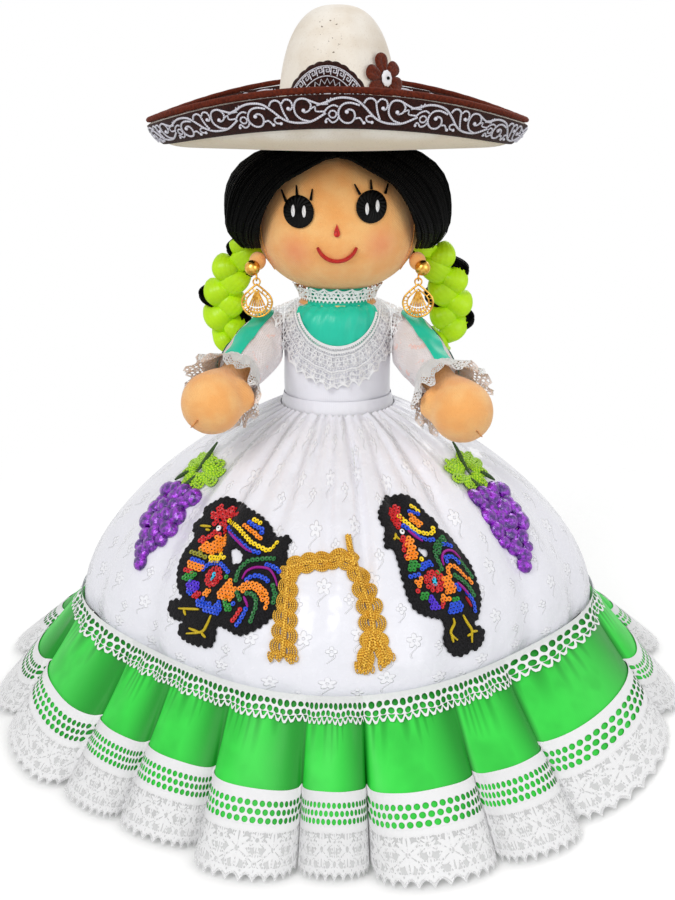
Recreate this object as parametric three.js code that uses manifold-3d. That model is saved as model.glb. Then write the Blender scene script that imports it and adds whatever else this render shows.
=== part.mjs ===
// A rag doll in a wide gathered skirt, with a felt hat, plaits and earrings.
// Millimetres, +Z up, the doll faces -Y, and the origin is on the table under its middle.
import * as THREE from "three";
import { mergeVertices } from "three/addons/utils/BufferGeometryUtils.js";
import Module from "manifold-3d";

const wasm = await Module();
wasm.setup();

// Gaps and cloths
const GAP = 0.3; // between neighbours that touch
const SATIN = 0.9; // thickness of the skirt's and flounce's cloth
const LACE = 0.8;
const NET_CLEARANCE = 1.0; // between the skirt's deepest fold and the petticoat
const HEM_CLEARANCE = 1.0; // from the lace's lower edge to the table

// Skirt, flounce and petticoat
const FLOUNCE_DROP = 70; // from the flounce's seam to the table
const BELL_HEIGHT = 115; // from that seam up to the waist
const WAIST_RADIUS = 33;
const SEAM_RADIUS = 150;
const DRAWN_IN = 13; // how far the seam lies in halfway between front, sides and back
const HEM_RADIUS = 174; // the flounce's deepest folds at the table
const FLUTE_DEPTH = 35; // how far the front flutes stand out from there
const SATIN_SHARE = 0.75; // how far down the flounce its satin runs
const LACE_START = 0.5; // how far down the flounce the hem lace starts
const HEADING_RISE = 4; // how far the heading lace reaches above the seam
const HEADING_SHARE = 0.16; // how far down the flounce it reaches
const HEADING_ON_SKIRT = 0.35; // the share of the heading's width that lies on the skirt
const HEADING_LIFT = 1.3; // how far it stands off the flounce, clear of its flutes
const SKIRT_FOLDS = 12;
const SKIRT_FOLD_DEPTH = 3.2;
const PETTICOAT_WALL = 1.2;
const PETTICOAT_HEM_WIDTH = 6;
const PETTICOAT_HEM_HEIGHT = 2.5;

// Body
const BODY_DEPTH_RATIO = 0.95; // the trunk's depth for its width
const TORSO_RADIUS = 28.5;
const BODICE = 1.7; // thickness of the lined bodice
const YOKE = 0.8;
const BIB_WAVE = 0.8;
const SHOULDER_RISE = 13; // height of the shoulder's rounding
const BODICE_HEIGHT = 55; // from the waist to the top of the shoulders
const HIP_DROP = 26; // from the waist to the bottom of the torso
const NECK_RADIUS = 20.5;
const NECK_HEIGHT = 8;
const COLLAR_HEIGHT = 8.2;
const COLLAR_FLARE = 4;
const WAISTBAND_HEIGHT = 5;
const YOKE_HALF_WIDTH = 22;
const YOKE_DROP = 17; // from the shoulders to the yoke's lowest point
const BIB_DROP = 43;

// Legs
const LEG_SPACING = 24;
const LEG_RADIUS = 9.5;
const ANKLE_RADIUS = 7.5;
const HIP_BALL_RADIUS = 8.5;
const SOLE_HEIGHT = 4;
const SHOE_HEIGHT = 15;
const SHOE_HALF_WIDTH = 11;
const SHOE_LENGTH = 36;
const SHOE_FORWARD = 6; // how far the shoe's middle lies in front of the leg

// Arms
const SHOULDER_SPACING = 76;
const SHOULDER_FORWARD = 2;
const SHOULDER_DROP = 17; // from the top of the shoulders to the joint
// The way each arm points: outward, forward and up. The left one is held a little higher.
const ARM_DIRECTIONS = { left: [0.387, -0.862, -0.327], right: [0.387, -0.831, -0.4] };
const ARM_RADIUS = 10;
const WRIST_RADIUS = 9;
const HAND_RADIUS = 16;
const ARM_LENGTH = 88;
const HAND_LENGTH = 34;
const THUMB_RADIUS = 6.5;
const SLEEVE_RADIUS = 14.5;
const SLEEVE_LENGTH = 43;
const SLEEVE_CUFF_RADIUS = 12;
const CUFF_LENGTH = 16;
const CUFF_RADIUS = 22.5;
const CUFF_WAVES = 8;
const CUFF_WAVE_DEPTH = 2;
const WIDE_RIBBON = 10;
const NARROW_RIBBON = 6;
const RIBBON = 0.5;

// Head and hair
const HEAD_RADIUS = 46;
const HEAD_DEPTH_RATIO = 0.93;
const HEAD_ABOVE = 43.5; // above its widest place
const HEAD_BELOW = 36;
const HAIR_HALF_WIDTH = 62;
const HAIR_HALF_HEIGHT = 37;
const HAIR_ROUNDNESS = 2.6;
const HAIR_FRONT_RATIO = 0.7;
const HAIR_BACK_RATIO = 0.84;
const HAIR_OVER_HEAD = 2.5; // hair on the crown of the head
const HAIR_SIDE_END = 23; // how far above the chin the side hair ends
const NAPE_DROP = 12; // how much lower the hair behind ends
const FACE_HALF_WIDTH = 44.5;
const FACE_HEIGHT = 49; // from the cheeks to the hairline
const PLAIT_HALF_WIDTH = 13;
const PLAIT_HALF_DEPTH = 9.5;
const PLAIT_LENGTH = 64;
const PLAIT_ROOT = 49; // from the middle out to where the plait starts
const PLAIT_SWING = 16; // how far it swings out from there
const PLAIT_BACK = 7; // how far behind the face's middle it starts
const PLAIT_LEAN = 9; // how far back it leans on its way down
const PLAIT_HAIR_RADIUS = 8;
const EYE_RADIUS = 8.3;
const EYE_SPACING = 38;
const EYE_RISE = 12; // above the head's widest place
const LASH_LENGTH = 6.5;
const LASH_WIDTH = 1.2;
const STITCHES = 0.7; // height of the embroidery on the face
const NOSE_HEIGHT = 7.2;
const NOSE_WIDTH = 3.1;
const SMILE_RADIUS = 10.5;
const SMILE_WIDTH = 1.5;
const SMILE_DROP = 4; // from the head's widest place to the smile's centre
const EAR_RADIUS = 4.4;

// Earrings
const BEAD_RADIUS = 4.1;
const RING_RADIUS = 1.9; // of the bead's eye and of the jump ring, to the wire's middle
const WIRE_RADIUS = 0.5;
const DROP_WIDTH = 16.5;
const DROP_HEIGHT = 18;
const DROP_THICKNESS = 1.1;
const DROP_BORDER = 2.6;

// Hat
const FELT = 2.6;
const BAND = 0.9;
const HAT_HOLE = 27; // radius of the head opening
const BRIM_RADIUS = 101;
const BRIM_RISE = 19.5;
const BRIM_TURN_UP = 9; // how late the brim turns up: higher is later
const SADDLE = 9.5; // how far the brim's front and back stand above its mean height
const SADDLE_START = 60;
const CROWN_RADIUS = 32;
const CROWN_HEIGHT = 71;
const CROWN_SHAPE = 2.6;
const BINDING_RADIUS = 2.1;
const PATCH_HALF_WIDTH = 26;
const PATCH_HEIGHT = 41;
const FLOWER_RADIUS = 12;
const FLOWER_THICKNESS = 3;
const FLOWER_ANGLE = 50; // degrees round from the front
const FLOWER_HEIGHT = 32; // above the brim
const BUTTON_RADIUS = 3.3;
const BUTTON_THICKNESS = 1.6;
const FLOWER_LEAN = 0.13; // radians the crown leans back there

// Patches on the skirt
const PATCH_THICKNESS = 2;
const GRAPE_THICKNESS = 3.4;
const GALLOON_THICKNESS = 1.6;
const GALLOON_WIDTH = 8;
const ARCH_SPAN = 36;
const ARCH_LEG = 47;

// Heights that follow from the sizes above
const WAIST = FLOUNCE_DROP + BELL_HEIGHT;
const SHOULDERS = WAIST + BODICE_HEIGHT;
const HEAD_SEAT = SHOULDERS + NECK_HEIGHT;
const CHEEKS = HEAD_SEAT + GAP + HEAD_BELOW; // the head's widest place
const HAIR_TOP = CHEEKS + HEAD_ABOVE + HAIR_OVER_HEAD;
const HAIR_MIDDLE = HAIR_TOP - HAIR_HALF_HEIGHT;
const SIDE_HAIR_END = HEAD_SEAT + HAIR_SIDE_END;
const HIP_JOINT = WAIST - HIP_DROP - GAP - HIP_BALL_RADIUS;
const SHOULDER_JOINT = SHOULDERS - SHOULDER_DROP;
const BODICE_RADIUS = TORSO_RADIUS + GAP + BODICE;
const ARM_SEAT = BODICE_RADIUS + GAP; // the flat inner ends of the arms lie this far out

const QUARTER = Math.PI / 2;
const FULL = 2 * Math.PI;
const WELD = 1e-4;

// Solids

// Makes one closed solid of a geometry, with its faces pointing outwards.
function solid(geometry) {
  const bare = new THREE.BufferGeometry();
  bare.setAttribute("position", geometry.getAttribute("position"));
  bare.setIndex(geometry.index);
  const welded = mergeVertices(bare, WELD);
  const corners = [];
  const index = welded.index.array;
  for (let i = 0; i < index.length; i += 3) {
    const [a, b, c] = index.subarray(i, i + 3);
    if (a !== b && b !== c && c !== a) corners.push(a, b, c);
  }
  const fill = (order) =>
    new wasm.Manifold(
      new wasm.Mesh({
        numProp: 3,
        vertProperties: welded.attributes.position.array,
        triVerts: new Uint32Array(order),
      }),
    );
  const made = fill(corners);
  return made.volume() > 0 ? made : fill(corners.reverse());
}

function surface(body) {
  const mesh = body.getMesh();
  const geometry = new THREE.BufferGeometry();
  geometry.setAttribute("position", new THREE.BufferAttribute(mesh.vertProperties, 3));
  geometry.setIndex(new THREE.BufferAttribute(mesh.triVerts, 1));
  geometry.computeVertexNormals();
  return geometry;
}

const joined = (bodies) => bodies.reduce((all, body) => all.add(body));

function block(low, high) {
  const size = high.map((top, i) => top - low[i]);
  const box = new THREE.BoxGeometry(...size);
  box.translate(...low.map((bottom, i) => bottom + size[i] / 2));
  return solid(box);
}

function ball(centre, radii, columns = 12, rows = 8) {
  const sphere = new THREE.SphereGeometry(1, columns, rows);
  sphere.scale(...radii);
  sphere.translate(...centre);
  return solid(sphere);
}

// Turns a profile of [radius, height] points round the upright axis, from the front on.
// move(point, angle, k) then shifts each point, and k is its place in the profile.
// From the place `back` on, the profile runs back along its own first half, and the facets
// there are split the same way as the facets they lie behind.
function turned(profile, columns, move = () => {}, back = Infinity) {
  const points = profile.map(([radius, height]) => new THREE.Vector2(radius, height));
  const geometry = new THREE.LatheGeometry(points, columns);
  geometry.rotateX(QUARTER);
  for (let column = 0; column < columns; column++) {
    for (let j = back; j < points.length - 1; j++) {
      const a = column * points.length + j;
      const [b, c, d] = [a + points.length, a + points.length + 1, a + 1];
      geometry.index.array.set([a, b, c, c, d, a], 6 * (column * (points.length - 1) + j));
    }
  }
  const places = geometry.getAttribute("position");
  const point = new THREE.Vector3();
  for (let k = 0; k < places.count; k++) {
    point.fromBufferAttribute(places, k);
    const column = Math.floor(k / points.length);
    move(point, (FULL * column) / columns, k % points.length);
    places.setXYZ(k, point.x, point.y, point.z);
  }
  return geometry;
}

// The unit vector square to a line at s, to the left of its way down and outwards.
function facing(line, s) {
  const step = 0.001;
  const [r0, z0] = line(Math.max(0, s - step));
  const [r1, z1] = line(Math.min(1, s + step));
  const length = Math.hypot(r1 - r0, z1 - z0);
  return [(z0 - z1) / length, (r1 - r0) / length];
}

// A sheet round the upright axis that follows line(s), from its face `under` to its face `over`.
// fold(angle, s) moves it square to itself, or along `way`, a fixed [outward, upward] direction.
// turnTo(angle) crowds the columns together, and flutes(turn, angle, s) is then the fold.
function hung(sheet) {
  const { line, from = 0, to = 1, rows, columns, under, over } = sheet;
  const { fold, flutes, turnTo, way, depth = 1 } = sheet;
  const stations = [];
  for (let i = 0; i <= rows; i++) stations.push([from + ((to - from) * i) / rows, over]);
  for (let i = rows; i >= 0; i--) stations.push([from + ((to - from) * i) / rows, under]);
  stations.push(stations[0]);
  const profile = stations.map(([s, off]) => {
    const [radius, height] = line(s);
    const [outward, upward] = facing(line, s);
    const distance = typeof off === "function" ? off(s) : off;
    return [Math.max(0, radius + distance * outward), height + distance * upward];
  });
  const move = (point, turn, k) => {
    const s = stations[k][0];
    const [outward, upward] = way ?? facing(line, s);
    const angle = turnTo ? turnTo(turn) : turn;
    const push = flutes ? flutes(turn, angle, s) : fold ? fold(angle, s) : 0;
    const radius = Math.hypot(point.x, point.y) + push * outward;
    point.x = radius * Math.sin(angle);
    point.y = -radius * Math.cos(angle) * depth;
    point.z += push * upward;
  };
  return solid(turned(profile, columns, move, rows + 1));
}

// A stuffed piece: a smooth swell through [radius, distance] stations along +Z.
function swelled(stations, steps) {
  const curve = new THREE.SplineCurve(stations.map(([r, z]) => new THREE.Vector2(r, z)));
  return curve.getPoints(steps).map((p, i) => {
    const atEnd = i === 0 || i === steps;
    return [atEnd ? 0 : Math.max(0.2, p.x), p.y];
  });
}

// Pushes flat outlines through in both directions, to cut a patch out of a sheet.
function punch(shapes, matrix, reach, curveSegments = 4) {
  const bodies = shapes.map((shape) => {
    const plate = new THREE.ExtrudeGeometry(shape, {
      depth: 2 * reach,
      bevelEnabled: false,
      curveSegments,
    });
    plate.translate(0, 0, -reach);
    plate.applyMatrix4(matrix);
    return solid(plate);
  });
  return joined(bodies);
}

function ellipse([x, y, halfWidth, halfHeight, tilt = 0]) {
  const shape = new THREE.Shape();
  shape.absellipse(x, y, halfWidth, halfHeight, 0, FULL, false, (tilt * Math.PI) / 180);
  return shape;
}

// A flat outline seen from the front, at a height, pushed through from the middle forwards.
function frontPunch(shapes, height, curveSegments) {
  const reach = 60;
  const matrix = new THREE.Matrix4().makeRotationX(QUARTER).setPosition(0, -reach, height);
  return punch(shapes, matrix, reach, curveSegments);
}

// The doll as nested groups: each moving part is a group that stands at its joint

const doll = new THREE.Group();

function groupAt(parent, x, y, z) {
  const group = new THREE.Group();
  group.position.set(x, y, z);
  doll.updateMatrixWorld(true);
  parent.add(group);
  parent.worldToLocal(group.position);
  group.updateMatrixWorld(true);
  return group;
}

const finishes = {
  skin: { color: 0xf7b267, roughness: 0.85 },
  satin: { color: 0xf4f4f8, roughness: 0.35 },
  green_satin: { color: 0x35d04f, roughness: 0.4 },
  teal_satin: { color: 0x35c9b4, roughness: 0.4 },
  lime_satin: { color: 0xa9e000, roughness: 0.35 },
  lace: { color: 0xffffff, roughness: 0.9 },
  sheer: { color: 0xf7e4e4, roughness: 0.7 },
  net: { color: 0xeeeeee, roughness: 0.9 },
  yarn: { color: 0x0b0a0c, roughness: 0.7 },
  felt: { color: 0xe9e0cf, roughness: 0.95 },
  velvet: { color: 0x4a1f12, roughness: 0.9 },
  dark_felt: { color: 0x2a1210, roughness: 0.9 },
  black_thread: { color: 0x0a0a0a, roughness: 0.6 },
  red_thread: { color: 0xc01510, roughness: 0.6 },
  gold: { color: 0xd9a441, roughness: 0.25, metalness: 1 },
  gold_braid: { color: 0xd9a52c, roughness: 0.5, metalness: 0.3 },
  sequins: { color: 0x24408e, roughness: 0.3, metalness: 0.4 },
  grape: { color: 0x6a0fa0, roughness: 0.25 },
  leaf: { color: 0x7bb51a, roughness: 0.6 },
  shoe_leather: { color: 0x101010, roughness: 0.35 },
};

// Adds a piece drawn in the doll's frame to the group that carries it.
function add(group, name, body, finish) {
  const geometry = surface(body);
  const origin = group.getWorldPosition(new THREE.Vector3());
  geometry.translate(-origin.x, -origin.y, -origin.z);
  const mesh = new THREE.Mesh(geometry, new THREE.MeshStandardMaterial(finishes[finish]));
  mesh.name = name;
  group.add(mesh);
}

// Left is -X and right is +X, as the photographer sees them
const SIDES = [
  ["left", -1],
  ["right", 1],
];

// Skirt

// The bell: almost flat at the waist, upright at the seam.
function bellLine(s) {
  const across = Math.sin(s * QUARTER);
  const round = 0.57;
  const drop = round * Math.cos(s * QUARTER) + (1 - round) * (1 - across);
  return [WAIST_RADIUS + (SEAM_RADIUS - WAIST_RADIUS) * across, FLOUNCE_DROP + BELL_HEIGHT * drop];
}

const easeIn = (s) => Math.min(1, s / 0.4);
const skirtFoldDepth = (s) => 0.2 + SKIRT_FOLD_DEPTH * easeIn(s);

// Seen from above the bell is fullest in front, behind and at both sides
const drawnIn = (angle) => DRAWN_IN * Math.sin(2 * angle) ** 2;
const skirtDrawnIn = (angle, s) => drawnIn(angle) * Math.sin(s * QUARTER) ** 2;

function skirtFold(angle, s) {
  const wave = Math.cos(SKIRT_FOLDS * angle + 0.9 * Math.sin(3 * angle));
  return (-skirtFoldDepth(s) * (1 + wave)) / 2 - skirtDrawnIn(angle, s);
}

const SKIRT = { line: bellLine, rows: 4, columns: 48, fold: skirtFold };
const skirtSheet = (under, over) => hung({ ...SKIRT, under, over });

const BACK_FLUTE = 0.934; // makes the back reach as far as the front
// The flounce's flutes, one after another from the front round by the right: the angle in
// degrees where each starts, how far the fold there stands out at the hem, and how far the
// flute does, both as shares of the flutes' depth. The hidden back mirrors itself.
const FLUTES = [
  [4.8, 0.31, 1.0],
  [23.2, 0.54, 0.94],
  [38.9, 0.31, 0.74],
  [80, 0.37, 0.97],
  [103, 0.46, 1.49],
  [124, 0.34, 0.89],
  [142, 0.26, 0.83],
  [160, 0.3, BACK_FLUTE],
  [180, 0.31, BACK_FLUTE],
  [200, 0.3, 0.83],
  [218, 0.26, 0.89],
  [236, 0.34, 1.49],
  [257, 0.46, 0.97],
  [280, 0.37, 0.69],
  [307.7, 0.06, 0.46],
  [322.3, 0.06, 0.46],
  [338.1, 0.06, 0.86],
  [354.1, 0.31, 0.71],
];
const FLUTE_STEPS = 6;
const FLOUNCE_COLUMNS = FLUTES.length * FLUTE_STEPS;

// The flute at a place counted in flutes: its number, and how far across it the place lies
function fluteAt(place) {
  const number = Math.floor(place + WELD);
  const share = Math.max(0, place - number);
  const flute = FLUTES[number % FLUTES.length];
  const next = FLUTES[(number + 1) % FLUTES.length];
  const turns = Math.floor((number + 1) / FLUTES.length);
  return { share, flute, next, end: next[0] + 360 * turns };
}

// Shares the columns out evenly among the flutes, and returns the angle of one of them
function fluteAngle(turn) {
  const { share, flute, end } = fluteAt((turn / FULL) * FLUTES.length);
  const start = flute[0] + (turn > FULL - WELD ? 360 : 0);
  return ((start + (end - start) * share) * Math.PI) / 180;
}

// The flounce at its deepest folds, from the seam to the hem
function flounceLine(s) {
  const radius = SEAM_RADIUS + (HEM_RADIUS - SEAM_RADIUS) * s;
  return [radius, FLOUNCE_DROP - GAP - (FLOUNCE_DROP - GAP - HEM_CLEARANCE) * s];
}

// How far the flounce stands out from there; turn counts its columns and angle is their place
function flutePush(turn, angle, s) {
  const { share, flute, next } = fluteAt((turn / FULL) * FLUTES.length);
  const fold = flute[1] + (next[1] - flute[1]) * share;
  const round = Math.sqrt(Math.max(0, Math.sin(Math.PI * share)));
  const out = FLUTE_DEPTH * (fold + (flute[2] - fold) * round);
  return out * s - drawnIn(angle) * (1 - s);
}

const OUTWARD = [1, 0];

function headingLine(s) {
  if (s < HEADING_ON_SKIRT) return [SEAM_RADIUS, FLOUNCE_DROP + HEADING_RISE * (1 - s / HEADING_ON_SKIRT)];
  return flounceLine(headingDrop(s));
}

// How far down the flounce a place on the heading lies
const headingDrop = (s) => (HEADING_SHARE * Math.max(0, s - HEADING_ON_SKIRT)) / (1 - HEADING_ON_SKIRT);
const headingPush = (turn, angle, s) => flutePush(turn, angle, headingDrop(s));

function addSkirt() {
  add(doll, "skirt", skirtSheet(-SATIN, 0), "satin");
  const flounce = {
    line: flounceLine,
    columns: FLOUNCE_COLUMNS,
    turnTo: fluteAngle,
    flutes: flutePush,
    way: OUTWARD,
  };
  const satin = hung({ ...flounce, to: SATIN_SHARE, rows: 3, under: -SATIN, over: 0 });
  add(doll, "flounce", satin, "green_satin");
  const hem = { ...flounce, from: LACE_START, rows: 2, under: GAP, over: GAP + LACE };
  add(doll, "hem_lace", hung(hem), "lace");
  const heading = { ...flounce, line: headingLine, flutes: headingPush, rows: 1 };
  add(doll, "heading_lace", hung({ ...heading, under: HEADING_LIFT, over: HEADING_LIFT + LACE }), "lace");
}

// Petticoat: a stiff net bell inside the skirt, then a cone to its folded hem on the table.
// Each point is [radius, height, place s on the bell], and the folded hem's points have no s.
function petticoatProfile() {
  const inset = (s) => SATIN + skirtFoldDepth(s) + NET_CLEARANCE * easeIn(s) + GAP;
  const bell = (wall) => (i) => {
    const s = i / bellRows;
    const [radius, height] = bellLine(s);
    const [outward, upward] = facing(bellLine, s);
    const depth = inset(s) + wall;
    return [radius - depth * outward, height - depth * upward, s];
  };
  const bellRows = 4;
  const steps = [0, 1, 2, 3, 4];
  const outer = steps.map(bell(0));
  const foot = HEM_RADIUS - SATIN - 2 * NET_CLEARANCE;
  const [seamRadius, seamHeight] = outer[bellRows];
  const slope = (foot - seamRadius) / seamHeight;
  const hem = [
    [foot, 0],
    [foot - PETTICOAT_HEM_WIDTH, 0],
    [foot - PETTICOAT_HEM_WIDTH, PETTICOAT_HEM_HEIGHT],
    [foot - PETTICOAT_WALL - slope * PETTICOAT_HEM_HEIGHT, PETTICOAT_HEM_HEIGHT],
  ];
  return [...outer, ...hem, ...steps.reverse().map(bell(PETTICOAT_WALL)), outer[0]];
}

function addPetticoat() {
  const profile = petticoatProfile();
  const drawIn = (point, angle, k) => {
    const s = profile[k][2];
    if (s === undefined) return;
    const [outward, upward] = facing(bellLine, s);
    const push = -skirtDrawnIn(angle, s);
    point.x += push * outward * Math.sin(angle);
    point.y -= push * outward * Math.cos(angle);
    point.z += push * upward;
  };
  add(doll, "petticoat", solid(turned(profile, SKIRT.columns, drawIn)), "net");
}

// Trunk

// The trunk's side, from the foot of the neck over the shoulder and down to the waist.
function trunkLine(s) {
  const shoulder = 0.5;
  if (s >= shoulder) {
    const down = (s - shoulder) / (1 - shoulder);
    return [TORSO_RADIUS, SHOULDERS - SHOULDER_RISE - (BODICE_HEIGHT - SHOULDER_RISE) * down];
  }
  const angle = (s / shoulder) * QUARTER;
  const square = 0.75; // below 1 makes the shoulder squarer than a quarter circle
  const out = Math.pow(Math.sin(angle), square);
  const rise = Math.pow(Math.cos(angle), square);
  const radius = NECK_RADIUS + (TORSO_RADIUS - NECK_RADIUS) * out;
  return [radius, SHOULDERS - SHOULDER_RISE * (1 - rise)];
}

const flatten = (ratio) => (point) => {
  point.y *= ratio;
};

function torso() {
  const shoulderRows = 4;
  const profile = [
    [0, HEAD_SEAT],
    [NECK_RADIUS, HEAD_SEAT],
  ];
  for (let i = 0; i <= shoulderRows; i++) profile.push(trunkLine(i / shoulderRows));
  profile.push([TORSO_RADIUS * 0.98, WAIST - HIP_DROP * 0.35]);
  profile.push([TORSO_RADIUS * 0.9, WAIST - HIP_DROP * 0.75]);
  profile.push([TORSO_RADIUS * 0.72, WAIST - HIP_DROP]);
  profile.push([0, WAIST - HIP_DROP]);
  return solid(turned(profile, 24, flatten(BODY_DEPTH_RATIO)));
}

const TRUNK = { line: trunkLine, depth: BODY_DEPTH_RATIO, columns: 24 };

// A U-shaped outline below the neck, its top at zero
function bibShape(halfWidth, drop) {
  const shape = new THREE.Shape();
  const upper = drop * 0.35;
  shape.moveTo(-halfWidth, upper);
  shape.lineTo(-halfWidth, -drop + halfWidth);
  shape.absarc(0, -drop + halfWidth, halfWidth, Math.PI, FULL, false);
  shape.lineTo(halfWidth, upper);
  return shape;
}

function addTrunk() {
  add(doll, "torso", torso(), "skin");
  const bodice = { ...TRUNK, rows: 4, under: GAP, over: GAP + BODICE };
  add(doll, "bodice", hung(bodice), "satin");

  const overBodice = 2 * GAP + BODICE; // from the torso
  const chest = { ...TRUNK, from: 0, to: 1, rows: 4, under: overBodice };
  const yokeOutline = frontPunch([bibShape(YOKE_HALF_WIDTH, YOKE_DROP)], SHOULDERS);
  const yoke = hung({ ...chest, over: overBodice + YOKE }).intersect(yokeOutline);
  add(doll, "yoke", yoke, "teal_satin");

  const ruffle = (angle) => (BIB_WAVE * (1 + Math.cos(24 * angle))) / 2;
  const bibOutline = frontPunch([bibShape(BODICE_RADIUS, BIB_DROP)], SHOULDERS);
  const opening = bibShape(YOKE_HALF_WIDTH + GAP, YOKE_DROP + GAP);
  const lace = hung({ ...chest, columns: 48, over: overBodice + LACE, fold: ruffle });
  const bib = lace.intersect(bibOutline).subtract(frontPunch([opening], SHOULDERS));
  add(doll, "bib_lace", bib, "lace");

  const collarFoot = SHOULDERS + overBodice + LACE + BIB_WAVE + GAP;
  const collarLine = (s) => [
    NECK_RADIUS + LACE + GAP + 0.6 + COLLAR_FLARE * s * s,
    collarFoot + COLLAR_HEIGHT * s,
  ];
  const wave = (angle, s) => 0.5 * s * Math.cos(18 * angle);
  const collar = {
    line: collarLine,
    rows: 2,
    columns: 24,
    under: 0,
    over: LACE,
    fold: wave,
    way: OUTWARD,
    depth: BODY_DEPTH_RATIO,
  };
  add(doll, "collar_lace", hung(collar), "lace");

  const inner = BODICE_RADIUS + GAP;
  const foot = WAIST + GAP;
  const band = [
    [inner, foot],
    [WAIST_RADIUS, foot],
    [WAIST_RADIUS + 0.6, foot + WAISTBAND_HEIGHT / 2],
    [WAIST_RADIUS, foot + WAISTBAND_HEIGHT],
    [inner, foot + WAISTBAND_HEIGHT],
    [inner, foot],
  ];
  add(doll, "waistband", solid(turned(band, 24)), "satin");
}

// Legs and shoes, out of sight inside the petticoat
function addLeg([name, side]) {
  const x = (side * LEG_SPACING) / 2;
  const group = groupAt(doll, x, 0, HIP_JOINT);
  const ankle = SOLE_HEIGHT + SHOE_HEIGHT * 0.35;
  const limb = (grow) =>
    swelled(
      [
        [0, HIP_JOINT + HIP_BALL_RADIUS + grow],
        [HIP_BALL_RADIUS * 0.71 + grow, HIP_JOINT + HIP_BALL_RADIUS * 0.71],
        [HIP_BALL_RADIUS + grow, HIP_JOINT],
        [LEG_RADIUS + grow, HIP_JOINT * 0.72],
        [LEG_RADIUS * 0.9 + grow, HIP_JOINT * 0.4],
        [ANKLE_RADIUS + grow, SOLE_HEIGHT + SHOE_HEIGHT],
        [ANKLE_RADIUS * 0.8 + grow, ankle],
        [0, ankle - 1 - grow],
      ],
      10,
    );
  const place = (profile) => {
    const geometry = turned(profile, 12);
    geometry.translate(x, 0, 0);
    return solid(geometry);
  };
  add(group, `leg_${name}`, place(limb(0)), "skin");

  const middle = [x, -SHOE_FORWARD, SOLE_HEIGHT];
  const upper = ball(middle, [SHOE_HALF_WIDTH, SHOE_LENGTH / 2, SHOE_HEIGHT], 16, 8);
  const reach = SHOE_LENGTH;
  const below = block([x - reach, -reach, -reach], [x + reach, reach, SOLE_HEIGHT]);
  add(group, `shoe_${name}`, upper.subtract(below).subtract(place(limb(GAP))), "shoe_leather");
}

// Arms

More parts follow.
